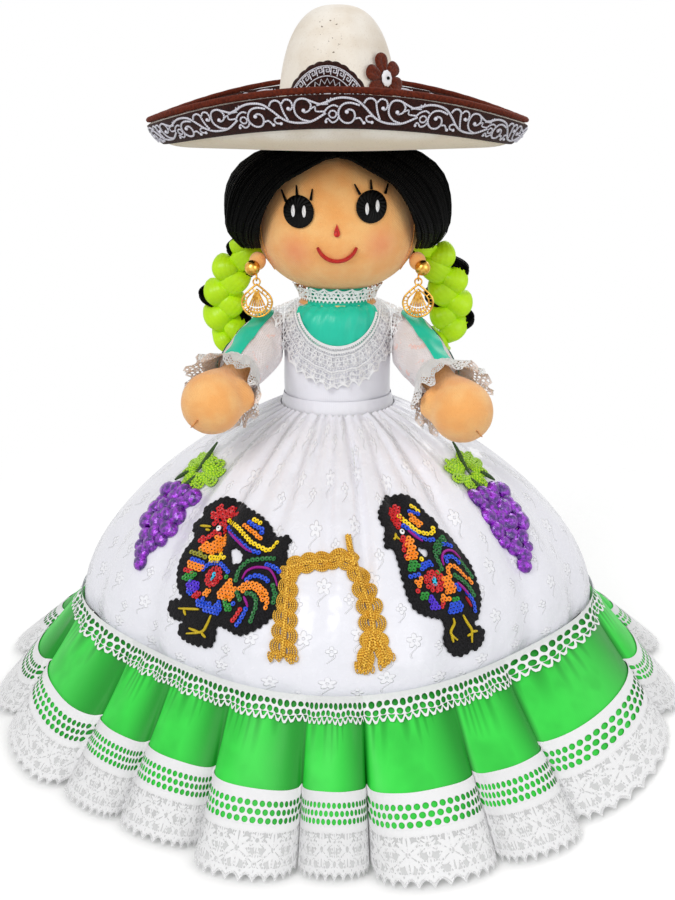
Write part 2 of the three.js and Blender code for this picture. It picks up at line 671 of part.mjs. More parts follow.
function addArm([name, side]) {
  const [dx, dy, dz] = ARM_DIRECTIONS[name];
  const direction = new THREE.Vector3(side * dx, dy, dz).normalize();
  const pivot = new THREE.Vector3((side * SHOULDER_SPACING) / 2, -SHOULDER_FORWARD, SHOULDER_JOINT);
  const group = groupAt(doll, pivot.x, pivot.y, pivot.z);
  const upright = new THREE.Vector3(0, 0, 1);
  const turn = new THREE.Quaternion().setFromUnitVectors(upright, direction);
  const placing = new THREE.Matrix4().compose(pivot, turn, new THREE.Vector3(1, 1, 1));
  const along = (geometry) => solid(geometry.applyMatrix4(placing));

  const far = 200;
  const inward = [-far, ARM_SEAT].map((x) => side * x).sort((a, b) => a - b);
  const body = block([inward[0], -far, 0], [inward[1], far, 2 * far]);
  const trimmed = (piece) => piece.subtract(body);

  const handMiddle = ARM_LENGTH - HAND_LENGTH / 2;
  const limb = [
    [0, -ARM_RADIUS - 1],
    [ARM_RADIUS * 0.8, -ARM_RADIUS * 0.6],
    [ARM_RADIUS + 1, 2],
    [ARM_RADIUS, SLEEVE_LENGTH * 0.5],
    [WRIST_RADIUS, SLEEVE_LENGTH + CUFF_LENGTH * 0.3],
    [HAND_RADIUS * 0.86, handMiddle - HAND_LENGTH * 0.28],
    [HAND_RADIUS, handMiddle],
    [HAND_RADIUS * 0.8, ARM_LENGTH - HAND_LENGTH * 0.16],
    [0, ARM_LENGTH],
  ];
  const thumbPlace = direction.clone().multiplyScalar(handMiddle - 9).add(pivot);
  thumbPlace.x -= side * (HAND_RADIUS - 4);
  thumbPlace.y -= 4;
  const thumb = ball(thumbPlace.toArray(), [THUMB_RADIUS, THUMB_RADIUS + 2, THUMB_RADIUS], 10, 6);
  const arm = along(turned(swelled(limb, 11), 12)).add(thumb);
  add(group, `arm_${name}`, trimmed(arm), "skin");

  // The sleeve closes in a dome behind the shoulder and is open at the wrist
  const dome = SLEEVE_RADIUS - 1;
  const sleeveLine = (s) => {
    const behind = 0.35;
    if (s < behind) {
      const angle = (s / behind) * QUARTER;
      return [dome * Math.sin(angle), -dome * Math.cos(angle)];
    }
    const way = (s - behind) / (1 - behind);
    const puff = Math.sin(Math.PI * Math.min(1, way * 1.1));
    return [dome + (SLEEVE_CUFF_RADIUS - dome) * way * way + puff, SLEEVE_LENGTH * way];
  };
  const sleeveShell = (under, over) => {
    const rows = 5;
    const points = [];
    for (let i = 0; i <= rows; i++) {
      const [radius, length] = sleeveLine(i / rows);
      const [outward, upward] = facing(sleeveLine, i / rows);
      const centre = i === 0;
      points.push([radius, length, centre ? 0 : -outward, centre ? -1 : -upward]);
    }
    const face = (off) => points.map(([r, z, nr, nz]) => [Math.max(0, r + off * nr), z + off * nz]);
    return trimmed(along(turned([...face(over), ...face(under).reverse()], 16)));
  };
  add(group, `sleeve_${name}`, sleeveShell(-LACE, 0), "sheer");

  // Two satin stripes run down the sleeve's upper side, a wide one and a narrow one outside it
  const stripe = (width, angle) => {
    const strip = new THREE.BoxGeometry(width, 2 * far, SLEEVE_LENGTH * 0.86);
    strip.translate(0, -far, SLEEVE_LENGTH * 0.5);
    strip.rotateZ(angle);
    return sleeveShell(GAP, GAP + RIBBON).intersect(along(strip));
  };
  add(group, `ribbon_front_${name}`, stripe(WIDE_RIBBON, side * (Math.PI + 0.35)), "teal_satin");
  add(group, `ribbon_side_${name}`, stripe(NARROW_RIBBON, side * (Math.PI - 0.8)), "teal_satin");

  const flare = (s) => [
    SLEEVE_CUFF_RADIUS + GAP + LACE + (CUFF_RADIUS - SLEEVE_CUFF_RADIUS) * Math.pow(s, 1.3),
    SLEEVE_LENGTH - 3 + (CUFF_LENGTH + 3) * s,
  ];
  const cuffRows = 2;
  const edge = (grow) => (i) => {
    const [radius, length] = flare(i / cuffRows);
    return [radius + grow, length];
  };
  const steps = [0, 1, 2];
  const cuff = [...steps.map(edge(0)), ...steps.reverse().map(edge(LACE)), edge(0)(0)];
  const waves = (point, angle) => {
    const reach = Math.hypot(point.x, point.y);
    const share = Math.max(0, (reach - SLEEVE_CUFF_RADIUS - 2) / CUFF_RADIUS);
    const push = (CUFF_WAVE_DEPTH * share * Math.cos(CUFF_WAVES * angle)) / reach;
    point.x += point.x * push;
    point.y += point.y * push;
  };
  add(group, `cuff_lace_${name}`, along(turned(cuff, CUFF_WAVES * 4, waves, cuffRows + 1)), "lace");
}

// Head

function headLine(s) {
  const angle = QUARTER - s * Math.PI;
  const half = angle > 0 ? HEAD_ABOVE : HEAD_BELOW;
  const radius = HEAD_RADIUS * Math.pow(Math.max(0, Math.cos(angle)), 0.9);
  return [radius, CHEEKS + half * Math.sin(angle)];
}

function headBody(grow) {
  const rows = 10;
  const profile = [];
  for (let i = 0; i <= rows; i++) {
    const [radius, height] = headLine(i / rows);
    const away = (height - CHEEKS) / HEAD_ABOVE;
    const atPole = i === 0 || i === rows;
    profile.push([atPole ? 0 : radius + grow, height + grow * away]);
  }
  return solid(turned(profile, 24, flatten(HEAD_DEPTH_RATIO)));
}

// A superellipse turned round the head, shallower in front than behind
function hairBody(grow) {
  const rows = 8;
  const power = 2 / HAIR_ROUNDNESS;
  const profile = [];
  for (let i = 0; i <= rows; i++) {
    const angle = QUARTER - (i / rows) * Math.PI;
    const out = Math.pow(Math.max(0, Math.cos(angle)), power);
    const up = Math.sign(angle) * Math.pow(Math.abs(Math.sin(angle)), power);
    const atPole = i === 0 || i === rows;
    const radius = atPole ? 0 : (HAIR_HALF_WIDTH + grow) * out;
    profile.push([radius, HAIR_MIDDLE + (HAIR_HALF_HEIGHT + grow) * up]);
  }
  const squash = (point) => {
    point.y *= point.y < 0 ? HAIR_FRONT_RATIO : HAIR_BACK_RATIO;
  };
  return solid(turned(profile, 24, squash));
}

function addHair(group) {
  const far = 200;
  const faceShape = ellipse([0, 0, FACE_HALF_WIDTH, FACE_HEIGHT]);
  const hairline = CHEEKS + HEAD_ABOVE - FACE_HEIGHT - 3.5;
  const face = frontPunch([faceShape], hairline, 10);
  const seam = GAP / 2;
  const whole = hairBody(0).subtract(headBody(GAP));
  const behind = block([-far, seam, SIDE_HAIR_END - NAPE_DROP], [far, far, 2 * far]);
  add(group, "hair_back", whole.intersect(behind), "yarn");
  for (const [name, side] of SIDES) {
    const [low, high] = [seam, far].map((x) => side * x).sort((a, b) => a - b);
    const part = block([low, -far, SIDE_HAIR_END], [high, -seam, 2 * far]);
    add(group, `hair_${name}`, whole.intersect(part).subtract(face), "yarn");
  }
}

// A plait hangs from behind the ear, swings outwards and comes back in at its end
function plait(side, halfWidth, halfDepth, shiftOut, shiftBack) {
  const top = SIDE_HAIR_END + 5;
  const stations = [
    [0, top],
    [0.75, top - PLAIT_LENGTH * 0.06],
    [0.93, top - PLAIT_LENGTH * 0.3],
    [1, top - PLAIT_LENGTH * 0.55],
    [0.88, top - PLAIT_LENGTH * 0.8],
    [0.5, top - PLAIT_LENGTH * 0.97],
    [0, top - PLAIT_LENGTH],
  ];
  const profile = swelled(stations.map(([r, z]) => [r * halfWidth, z]), 10);
  const geometry = turned(profile, 10, (point) => {
    const down = (top - point.z) / PLAIT_LENGTH;
    const out = PLAIT_ROOT + PLAIT_SWING * Math.sin(Math.min(1, down * 1.15) * 2.2);
    const back = PLAIT_BACK + PLAIT_LEAN * Math.min(1, down * 1.5);
    point.x += side * (out + shiftOut);
    point.y = (point.y * halfDepth) / halfWidth + back + shiftBack;
  });
  return solid(geometry);
}

function addPlaits(group) {
  const hair = hairBody(GAP);
  for (const [name, side] of SIDES) {
    const outer = (grow) => plait(side, PLAIT_HALF_WIDTH + grow, PLAIT_HALF_DEPTH + grow, 0, 0);
    add(group, `plait_ribbon_${name}`, outer(0).subtract(hair), "lime_satin");
    const yarn = plait(side, PLAIT_HAIR_RADIUS, PLAIT_HAIR_RADIUS, PLAIT_HALF_WIDTH * 0.55, 6);
    add(group, `plait_hair_${name}`, yarn.subtract(outer(GAP)).subtract(hair), "yarn");
  }
}

function addFace(group) {
  const under = GAP;
  const skin = { line: headLine, rows: 10, columns: 24, depth: HEAD_DEPTH_RATIO };
  const stitched = hung({ ...skin, under, over: under + STITCHES });
  const eyeHeight = CHEEKS + EYE_RISE;
  for (const [name, side] of SIDES) {
    const x = (side * EYE_SPACING) / 2;
    const shapes = [ellipse([x, 0, EYE_RADIUS, EYE_RADIUS])];
    for (const lean of [-0.5, 0, 0.5]) {
      const root = new THREE.Vector2(x + EYE_RADIUS * 0.8 * Math.sin(lean), EYE_RADIUS * 0.7);
      const tip = new THREE.Vector2(Math.sin(lean), Math.cos(lean)).multiplyScalar(LASH_LENGTH);
      const middle = root.addScaledVector(tip, 0.5);
      const tilt = (-lean * 180) / Math.PI;
      shapes.push(ellipse([middle.x, middle.y, LASH_WIDTH / 2, LASH_LENGTH / 2 + 1, tilt]));
    }
    add(group, `eye_${name}`, stitched.intersect(frontPunch(shapes, eyeHeight, 6)), "black_thread");
  }
  const nose = frontPunch([ellipse([0, 0, NOSE_WIDTH / 2, NOSE_HEIGHT / 2])], CHEEKS + 1.5);
  add(group, "nose", stitched.intersect(nose), "red_thread");
  const smile = new THREE.Shape();
  const corner = 0.38; // radians from level to the corners of the smile
  smile.absarc(0, 0, SMILE_RADIUS + SMILE_WIDTH / 2, FULL - corner, Math.PI + corner, true);
  smile.absarc(0, 0, SMILE_RADIUS - SMILE_WIDTH / 2, Math.PI + corner, FULL - corner, false);
  const mouth = frontPunch([smile], CHEEKS - SMILE_DROP);
  add(group, "mouth", stitched.intersect(mouth), "red_thread");
}

function addEarring(head, [name, side]) {
  const earHeight = SIDE_HAIR_END - EAR_RADIUS - 2 * GAP;
  const ear = [side * (HEAD_RADIUS - 2.5), -13, earHeight];
  const earBody = ball(ear, [EAR_RADIUS, EAR_RADIUS, EAR_RADIUS], 10, 6).subtract(headBody(GAP));
  add(head, `ear_${name}`, earBody, "skin");

  const lean = new THREE.Vector3(side * 0.3, -0.92, -0.25).normalize();
  const bead = new THREE.Vector3(...ear).addScaledVector(lean, EAR_RADIUS + BEAD_RADIUS + GAP);
  const eye = bead.clone();
  eye.x -= side * 2.2;
  eye.z -= BEAD_RADIUS + 0.9;
  const eyeRing = new THREE.TorusGeometry(RING_RADIUS, WIRE_RADIUS, 5, 10);
  eyeRing.rotateY(QUARTER);
  eyeRing.translate(...eye.toArray());
  const stud = ball(bead.toArray(), [BEAD_RADIUS, BEAD_RADIUS, BEAD_RADIUS], 10, 6);
  add(head, `earring_bead_${name}`, stud.add(solid(eyeRing)), "gold");

  // The jump ring hangs in the eye, and the joint runs through its topmost wire
  const hang = eye.clone();
  hang.z -= RING_RADIUS - 2 * WIRE_RADIUS - GAP;
  const group = groupAt(head, hang.x, hang.y, hang.z);
  const jump = new THREE.TorusGeometry(RING_RADIUS, WIRE_RADIUS, 5, 10);
  jump.rotateX(QUARTER);
  jump.translate(hang.x, hang.y, hang.z - RING_RADIUS);
  const top = hang.z - 2 * RING_RADIUS + WIRE_RADIUS;
  const drop = dropShape();
  drop.holes.push(...dropHoles());
  const plate = new THREE.ExtrudeGeometry(drop, {
    depth: DROP_THICKNESS,
    bevelEnabled: false,
    curveSegments: 4,
  });
  plate.rotateX(QUARTER);
  plate.translate(hang.x, hang.y + DROP_THICKNESS / 2, top);
  add(group, `earring_drop_${name}`, solid(jump).add(solid(plate)), "gold");
}

// A drop outline with its tip at zero
function dropShape() {
  const radius = DROP_WIDTH / 2;
  const middle = -DROP_HEIGHT + radius;
  const shape = new THREE.Shape();
  shape.moveTo(0, 0);
  shape.quadraticCurveTo(-radius * 0.9, middle * 0.6, -radius, middle);
  shape.absarc(0, middle, radius, Math.PI, FULL, false);
  shape.quadraticCurveTo(radius * 0.9, middle * 0.6, 0, 0);
  return shape;
}

// Four slots fan down from the tip inside the border
function dropHoles() {
  const radius = DROP_WIDTH / 2 - DROP_BORDER;
  const middle = -DROP_HEIGHT + DROP_WIDTH / 2;
  const holes = [];
  for (const [x, halfWidth, rise] of [
    [-0.62, 0.2, 1],
    [-0.16, 0.15, 0],
    [0.3, 0.15, 0],
    [0.76, 0.15, 1],
  ]) {
    const hole = new THREE.Path();
    const halfHeight = rise ? 2.4 : 3.6;
    hole.absellipse(x * radius, middle + 0.4, halfWidth * radius, halfHeight, 0, FULL, true);
    holes.push(hole);
  }
  return holes;
}

// Hat

const HAT_SEAT = hairHeightAt(HAT_HOLE) + GAP;

function hairHeightAt(radius) {
  const share = Math.pow(radius / HAIR_HALF_WIDTH, HAIR_ROUNDNESS);
  return HAIR_MIDDLE + HAIR_HALF_HEIGHT * Math.pow(1 - share, 1 / HAIR_ROUNDNESS);
}

// The brim's under face, from the head opening out to the rim
function brimLine(s) {
  const reach = Math.sqrt(s);
  const radius = HAT_HOLE + (BRIM_RADIUS - HAT_HOLE) * reach;
  return [radius, HAT_SEAT + BRIM_RISE * Math.pow(reach, BRIM_TURN_UP)];
}

// Lifts the front and back of the brim and drops its sides
function saddle(point) {
  const reach = Math.hypot(point.x, point.y);
  const share = Math.max(0, (reach - SADDLE_START) / (BRIM_RADIUS - SADDLE_START));
  if (share > 0) point.z += (SADDLE * share * share * (point.y ** 2 - point.x ** 2)) / reach ** 2;
}

function crownLine(s) {
  const angle = QUARTER * (1 - s);
  const power = 2 / CROWN_SHAPE;
  const radius = CROWN_RADIUS * Math.pow(Math.max(0, Math.cos(angle)), power);
  return [radius, HAT_SEAT + FELT + (CROWN_HEIGHT - FELT) * Math.pow(Math.sin(angle), power)];
}

const HAT_COLUMNS = 32;
const CROWN_PLACES = [0, 0.25, 0.5, 0.75, 0.96];
const CROWN_FOOT = 0.015; // how far out the crown meets the brim
const BRIM_PLACES = [0.2, 0.5];
const BAND_PLACES = [0.8, 0.9, 1];

// The points of a line at some places s, moved square to it by `off`
function parallel(line, places, off) {
  return places.map((s) => {
    const [radius, height] = line(s);
    const [outward, upward] = facing(line, s);
    return [Math.max(0, radius + off * outward), height + off * upward];
  });
}

function hatBody() {
  const outside = parallel(crownLine, CROWN_PLACES, 0);
  const top = parallel(brimLine, [CROWN_FOOT, ...BRIM_PLACES, ...BAND_PLACES], FELT);
  const under = parallel(brimLine, [0, ...BRIM_PLACES, ...BAND_PLACES], 0).reverse();
  const inside = parallel(crownLine, CROWN_PLACES, -FELT).reverse();
  outside[0][0] = 0;
  inside[inside.length - 1][0] = 0;
  return solid(turned([...outside, ...top, ...under, ...inside], HAT_COLUMNS, saddle));
}

function brimBand(under, over) {
  const upper = parallel(brimLine, BAND_PLACES, over);
  const lower = parallel(brimLine, BAND_PLACES, under).reverse();
  return solid(turned([...upper, ...lower, upper[0]], HAT_COLUMNS, saddle));
}

function addHat(head) {
  const group = groupAt(head, 0, 0, HAT_SEAT);
  add(group, "hat_felt", hatBody(), "felt");
  add(group, "brim_band_outer", brimBand(-GAP - BAND, -GAP), "dark_felt");
  add(group, "brim_band_inner", brimBand(FELT + GAP, FELT + GAP + BAND), "dark_felt");

  const [rimRadius, rimHeight] = brimLine(1);
  const [outward, upward] = facing(brimLine, 1);
  const lift = GAP + BINDING_RADIUS;
  const middle = [
    rimRadius + (FELT / 2) * outward + lift * upward,
    rimHeight + (FELT / 2) * upward - lift * outward,
  ];
  const cord = [];
  const cordSides = 6;
  for (let i = 0; i <= cordSides; i++) {
    const angle = (FULL * (i % cordSides)) / cordSides;
    cord.push([
      middle[0] + BINDING_RADIUS * Math.cos(angle),
      middle[1] + BINDING_RADIUS * Math.sin(angle),
    ]);
  }
  add(group, "hat_binding", solid(turned(cord, HAT_COLUMNS, saddle)), "velvet");

  const sleeve = {
    line: crownLine,
    from: 0.2,
    to: 0.93,
    rows: 5,
    columns: HAT_COLUMNS,
    under: GAP,
    over: GAP + BAND,
  };
  const arch = ellipse([-5, 0, PATCH_HALF_WIDTH, PATCH_HEIGHT]);
  const patch = hung(sleeve).intersect(frontPunch([arch], HAT_SEAT + FELT, 8));
  add(group, "crown_patch", patch, "dark_felt");
  addFlower(group);
}

function addFlower(group) {
  const petals = 6;
  const flower = new THREE.Shape();
  const steps = 36;
  for (let i = 0; i <= steps; i++) {
    const angle = (FULL * i) / steps;
    const radius = FLOWER_RADIUS * (0.45 + 0.55 * Math.sqrt(Math.abs(Math.cos((petals * angle) / 2))));
    const corner = [radius * Math.cos(angle), radius * Math.sin(angle)];
    if (i === 0) flower.moveTo(...corner);
    else flower.lineTo(...corner);
  }
  const angle = (FLOWER_ANGLE * Math.PI) / 180;
  const radius = crownRadiusAt(FLOWER_HEIGHT) + GAP;
  const placing = new THREE.Matrix4()
    .makeTranslation(radius * Math.sin(angle), -radius * Math.cos(angle), HAT_SEAT + FLOWER_HEIGHT)
    .multiply(new THREE.Matrix4().makeRotationZ(angle))
    .multiply(new THREE.Matrix4().makeRotationX(QUARTER - FLOWER_LEAN));
  const extrude = (shape, depth, from) => {
    const plate = new THREE.ExtrudeGeometry(shape, { depth, bevelEnabled: false, curveSegments: 6 });
    plate.translate(0, 0, from);
    plate.applyMatrix4(placing);
    return solid(plate);
  };
  add(group, "hat_flower", extrude(flower, FLOWER_THICKNESS, 0), "velvet");
  const button = ellipse([0, 0, BUTTON_RADIUS, BUTTON_RADIUS]);
  add(group, "flower_button", extrude(button, BUTTON_THICKNESS, FLOWER_THICKNESS + GAP), "lace");
}

function crownRadiusAt(height) {
  const share = Math.pow((height - FELT) / (CROWN_HEIGHT - FELT), CROWN_SHAPE);
  return CROWN_RADIUS * Math.pow(1 - share, 1 / CROWN_SHAPE);
}

// Patches sewn on the skirt

// Cuts outlines out of a sheet that lies on the skirt, centred at an angle and a place s.
function onSkirt(shapes, degrees, s, tilt, thickness) {
  const angle = (degrees * Math.PI) / 180;
  const [radius, height] = bellLine(s);
  const [outward, upward] = facing(bellLine, s);
  const across = new THREE.Vector3(Math.cos(angle), Math.sin(angle), 0);
  const normal = new THREE.Vector3(outward * Math.sin(angle), -outward * Math.cos(angle), upward);
  const up = new THREE.Vector3().crossVectors(normal, across);
  const placing = new THREE.Matrix4()
    .makeBasis(across, up, normal)
    .setPosition(radius * Math.sin(angle), -radius * Math.cos(angle), height)
    .multiply(new THREE.Matrix4().makeRotationZ((tilt * Math.PI) / 180));
  const reach = 2 * DRAWN_IN; // deep enough to meet the sheet where the bell is drawn in
  return skirtSheet(GAP, GAP + thickness).intersect(punch(shapes, placing, reach));
}

// Each row is one rounded lobe: [x, y, half width, half height, tilt in degrees]
const ROOSTER = [
  [-5, -6, 17, 16, 0], // body
  [-11, 12, 8, 13, 12], // neck
  [-12, 22, 8.5, 8, 0], // head
  [-21, 21, 5, 3.6, -15], // beak
  [-16, 30, 4.5, 6, 20], // comb, three lobes
  [-9, 32, 4.5, 6, 0],
  [-3, 29, 4.5, 6, -20],
  [6, 21, 14, 4.5, -35], // hat brim
  [10, 26, 7, 6, -35], // hat crown
  [16, 4, 11, 13, -20], // tail, two lobes
  [19, -10, 9, 14, 12],
  [-10, -24, 4.5, 9, 10], // legs
  [1, -24, 4.5, 9, 0],
  [-15, -32, 8, 5, 10], // feet
  [0, -34, 8, 5, 0],
];

const LEAVES = [
  [-13, -3, 9, 6.5, 20],
  [-3, 4, 9, 7.5, 0],
  [9, 5, 9, 6.5, -15],
  [14, -4, 7, 5.5, 0],
  [2, -6, 9, 6.5, 0],
];

function grapeBunch() {
  const pitch = 10;
  const grapeRadius = 6.2;
  const rows = [3, 4, 3, 2, 1];
  return rows.flatMap((count, row) => {
    const grapes = [];
    for (let i = 0; i < count; i++) {
      const x = (i - (count - 1) / 2) * pitch;
      grapes.push([x, 22 - row * pitch * 0.87, grapeRadius, grapeRadius]);
    }
    return grapes;
  });
}

function galloonLeg() {
  const lobes = 4;
  const pitch = ARCH_LEG / lobes;
  const half = GALLOON_WIDTH / 2;
  const leg = [];
  for (let i = 0; i < lobes; i++) {
    const wide = half * (1 + 0.12 * i);
    leg.push([0, ARCH_LEG / 2 - pitch * (i + 0.5), wide + 1, pitch * 0.62]);
  }
  return leg;
}

function galloonTop() {
  const lobes = 3;
  const pitch = (ARCH_SPAN - GALLOON_WIDTH) / lobes;
  const top = [[1.5, 5, 2.6, 5]];
  for (let i = 0; i < lobes; i++) {
    const x = pitch * (i + 0.5 - lobes / 2);
    top.push([x, 3 * Math.cos((x / ARCH_SPAN) * Math.PI) - 2, pitch * 0.66, GALLOON_WIDTH / 2]);
  }
  return top;
}

function addPatches() {
  const rooster = ROOSTER.map(ellipse);
  add(doll, "rooster_left", onSkirt(rooster, -26, 0.535, -3, PATCH_THICKNESS), "sequins");
  add(doll, "rooster_right", onSkirt(rooster, 24, 0.545, -17, PATCH_THICKNESS), "sequins");
  const bunch = grapeBunch().map(ellipse);
  add(doll, "grapes_left", onSkirt(bunch, -59, 0.5, -22, GRAPE_THICKNESS), "grape");
  add(doll, "grapes_right", onSkirt(bunch, 56, 0.49, 22, GRAPE_THICKNESS), "grape");
  const leaves = LEAVES.map(ellipse);
  add(doll, "grape_leaves_left", onSkirt(leaves, -58, 0.275, 0, PATCH_THICKNESS), "leaf");
  add(doll, "grape_leaves_right", onSkirt(leaves, 55, 0.265, 0, PATCH_THICKNESS), "leaf");
  const middle = -2.5;
  const leg = galloonLeg().map(ellipse);
  const apart = 8.6; // degrees from the arch's middle to each leg
  add(doll, "arch_left", onSkirt(leg, middle - apart, 0.7, -4, GALLOON_THICKNESS), "gold_braid");
  add(doll, "arch_right", onSkirt(leg, middle + apart, 0.7, 4, GALLOON_THICKNESS), "gold_braid");
  const top = galloonTop().map(ellipse);
  add(doll, "arch_top", onSkirt(top, middle, 0.495, 0, GALLOON_THICKNESS), "gold_braid");
}

addSkirt();
addPetticoat();
addTrunk();
addPatches();
SIDES.forEach(addLeg);
SIDES.forEach(addArm);

const head = groupAt(doll, 0, 0, HEAD_SEAT);
add(head, "head", headBody(0), "skin");
addFace(head);
addHair(head);
addPlaits(head);
SIDES.forEach((side) => addEarring(head, side));
addHat(head);

export default doll;
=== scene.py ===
# %% [markdown]
# # A rag doll in a wide gathered skirt
# The solid model of the doll is loaded first, as a frame that doesn't move. Each cloth, trimming and
# thread is then modelled over it and rides on the solid body that carries it.
# All lengths are metres, +Z is up, and the doll faces -Y.

# %% The solid model
import bisect
import math
import random
import bmesh
import bpy
from mathutils import Matrix, Vector


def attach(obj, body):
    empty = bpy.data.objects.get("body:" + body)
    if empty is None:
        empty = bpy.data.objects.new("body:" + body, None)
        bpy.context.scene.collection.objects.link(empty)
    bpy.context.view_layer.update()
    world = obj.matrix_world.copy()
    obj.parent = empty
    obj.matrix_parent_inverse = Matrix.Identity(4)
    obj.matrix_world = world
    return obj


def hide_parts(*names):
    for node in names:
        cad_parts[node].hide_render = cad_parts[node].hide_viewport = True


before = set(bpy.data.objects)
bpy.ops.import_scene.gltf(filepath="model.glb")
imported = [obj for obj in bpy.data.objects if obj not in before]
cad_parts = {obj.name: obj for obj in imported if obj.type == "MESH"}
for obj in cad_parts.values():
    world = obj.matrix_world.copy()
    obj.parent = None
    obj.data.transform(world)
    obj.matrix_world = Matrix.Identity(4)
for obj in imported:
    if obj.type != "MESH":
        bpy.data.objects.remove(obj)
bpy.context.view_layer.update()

MM = 0.001
SIDES = (("left", -1), ("right", 1))
link = bpy.context.scene.collection.objects.link

# %% [markdown]
# ## Camera
# The photograph looks a little down on the doll, from in front of it. A camera's place and pitch can be
# found from round things: the hem, the brim and the waist are circles seen as ellipses, and how open
# each ellipse is tells how far the camera looks down on it.

# %% Camera
CAMERA_HEIGHT = 0.3823
CAMERA_DISTANCE = 0.750
LOOKING_DOWN = math.radians(16.91)
FOCAL_PIXELS = 1351
IMAGE_SIZE = (675, 900)

camera = bpy.data.objects.new("camera", bpy.data.cameras.new("camera"))
camera.location = (0, -CAMERA_DISTANCE, CAMERA_HEIGHT)
camera.rotation_euler = (math.pi / 2 - LOOKING_DOWN, 0, 0)
camera.data.sensor_width = 36
camera.data.lens = FOCAL_PIXELS * 36 / max(IMAGE_SIZE)
camera.data.clip_end = 20
link(camera)
bpy.context.scene.camera = camera
bpy.context.scene.view_settings.view_transform = "Standard"
print("lens", round(camera.data.lens, 2), "mm")

# %% [markdown]
# ## Finishes as sums
# A shader's numbers are easier to read as arithmetic than as a web of nodes. Wire wraps one socket, and
# each operator on it adds the Math node that does the same. Finish owns one material.

# %% Wires and finishes
class Wire:
    def __init__(self, tree, socket):
        self.tree = tree
        self.socket = socket

    def math(self, operation, *values):
        node = self.tree.nodes.new("ShaderNodeMath")
        node.operation = operation
        for slot, value in zip(node.inputs, values):
            if isinstance(value, Wire):
                self.tree.links.new(value.socket, slot)
            else:
                slot.default_value = value
        return Wire(self.tree, node.outputs[0])

    def __add__(self, other): return self.math("ADD", self, other)
    def __sub__(self, other): return self.math("SUBTRACT", self, other)
    def __mul__(self, other): return self.math("MULTIPLY", self, other)
    def __truediv__(self, other): return self.math("DIVIDE", self, other)
    def __mod__(self, other): return self.math("FLOORED_MODULO", self, other)
    def __gt__(self, other): return self.math("GREATER_THAN", self, other)
    def __lt__(self, other): return self.math("LESS_THAN", self, other)
    def __abs__(self): return self.math("ABSOLUTE", self)
    __radd__ = __add__
    __rmul__ = __mul__
    def __rsub__(self, other): return self.math("SUBTRACT", other, self)
    def __rtruediv__(self, other): return self.math("DIVIDE", other, self)
    def sin(self): return self.math("SINE", self)
    def cos(self): return self.math("COSINE", self)
    def root(self): return self.math("SQRT", self)
    def floor(self): return self.math("FLOOR", self)
    def least(self, other): return self.math("MINIMUM", self, other)
    def most(self, other): return self.math("MAXIMUM", self, other)
    def angle(self, other): return self.math("ARCTAN2", self, other)

    def ramp(self, low, high):
        """0 below low, 1 above high, smooth between; low may be the larger one."""
        share = ((self - low) / (high - low)).most(0).least(1)
        return share * share * (3 - 2 * share)


def ink(code):
    """A colour written as a web code, made linear."""
    parts = [int(code[i:i + 2], 16) / 255 for i in (1, 3, 5)]
    return (*[p / 12.92 if p <= 0.04045 else ((p + 0.055) / 1.055) ** 2.4 for p in parts], 1)


class Finish:
    """One material: its constants sit on the shader, what varies is wired to it."""

    def __init__(self, name, slot, **constants):
        self.slot = slot
        self.material = bpy.data.materials.new(name)
        self.material.use_nodes = True
        self.tree = self.material.node_tree
        self.shader = self.tree.nodes["Principled BSDF"]
        self.set(**constants)

    def set(self, **values):
        """Sets or wires the shader's sockets, named with underscores for their spaces."""
        for name, value in values.items():
            self.plug(self.shader.inputs[name.replace("_", " ")], value)
        return self

    def plug(self, socket, value):
        if isinstance(value, Wire):
            self.tree.links.new(value.socket, socket)
        else:
            socket.default_value = value

    def node(self, kind, settings=(), inputs=(), out=0):
        node = self.tree.nodes.new("ShaderNode" + kind)
        for name, value in dict(settings).items():
            setattr(node, name, value)
        for key, value in dict(inputs).items():
            self.plug(node.inputs[key], value)
        return Wire(self.tree, node.outputs[out])

    def xyz(self):
        """The three Object coordinates, each as a number."""
        place = self.node("TexCoord", out="Object")
        return [self.node("SeparateXYZ", {}, {0: place}, out=i) for i in range(3)]

    def across(self):
        """The cloth's own two coordinates in metres, across and up."""
        place = self.node("TexCoord", out="UV")
        return [self.node("SeparateXYZ", {}, {0: place}, out=i) for i in range(2)]

    def noise(self, size, detail=2):
        """Soft blotches, about size metres across."""
        inputs = {"Scale": 1 / size, "Detail": detail, "Vector": self.node("TexCoord", out="Object")}
        return self.node("TexNoise", {}, inputs, out="Fac")

    def mix(self, share, first, second):
        return self.node("Mix", {"data_type": "RGBA"}, {0: share, 6: first, 7: second}, out=2)

    def bump(self, height, depth, strength=1):
        """Wires a height from 0 to 1 as relief that is depth metres deep."""
        relief = self.node("Bump", {}, {"Height": height, "Distance": depth, "Strength": strength})
        return self.set(Normal=relief)


def finish_of(piece, finish):
    piece.data.materials.clear()
    piece.data.materials.append(finish.material)


def napped(name, slot, hair, detail, deep, light, relief, **constants):
    """Felt or velvet, whose hairs are about hair metres across."""
    cloth = Finish(name, slot, **constants)
    nap = cloth.noise(hair, detail)
    cloth.set(Base_Color=cloth.mix(nap.ramp(0.3, 0.7), ink(deep), ink(light)))
    cloth.bump(nap, relief)
    return cloth


def twisted(name, slot, along, around, dark, light, relief=0.0003, rough=None, **constants):
    """Cord or yarn. Its twist turns by along and around radians per metre, shades it and stands up."""
    cord = Finish(name, slot, **constants)
    u, v = cord.across()
    twist = (v * along + u * around).sin() * 0.5 + 0.5
    cord.set(Base_Color=cord.mix(twist, ink(dark), ink(light)))
    if rough:
        cord.set(Roughness=rough[0] + rough[1] * twist)
    if relief:
        cord.bump(twist, relief)
    return cord


print("finishes can be written as sums")

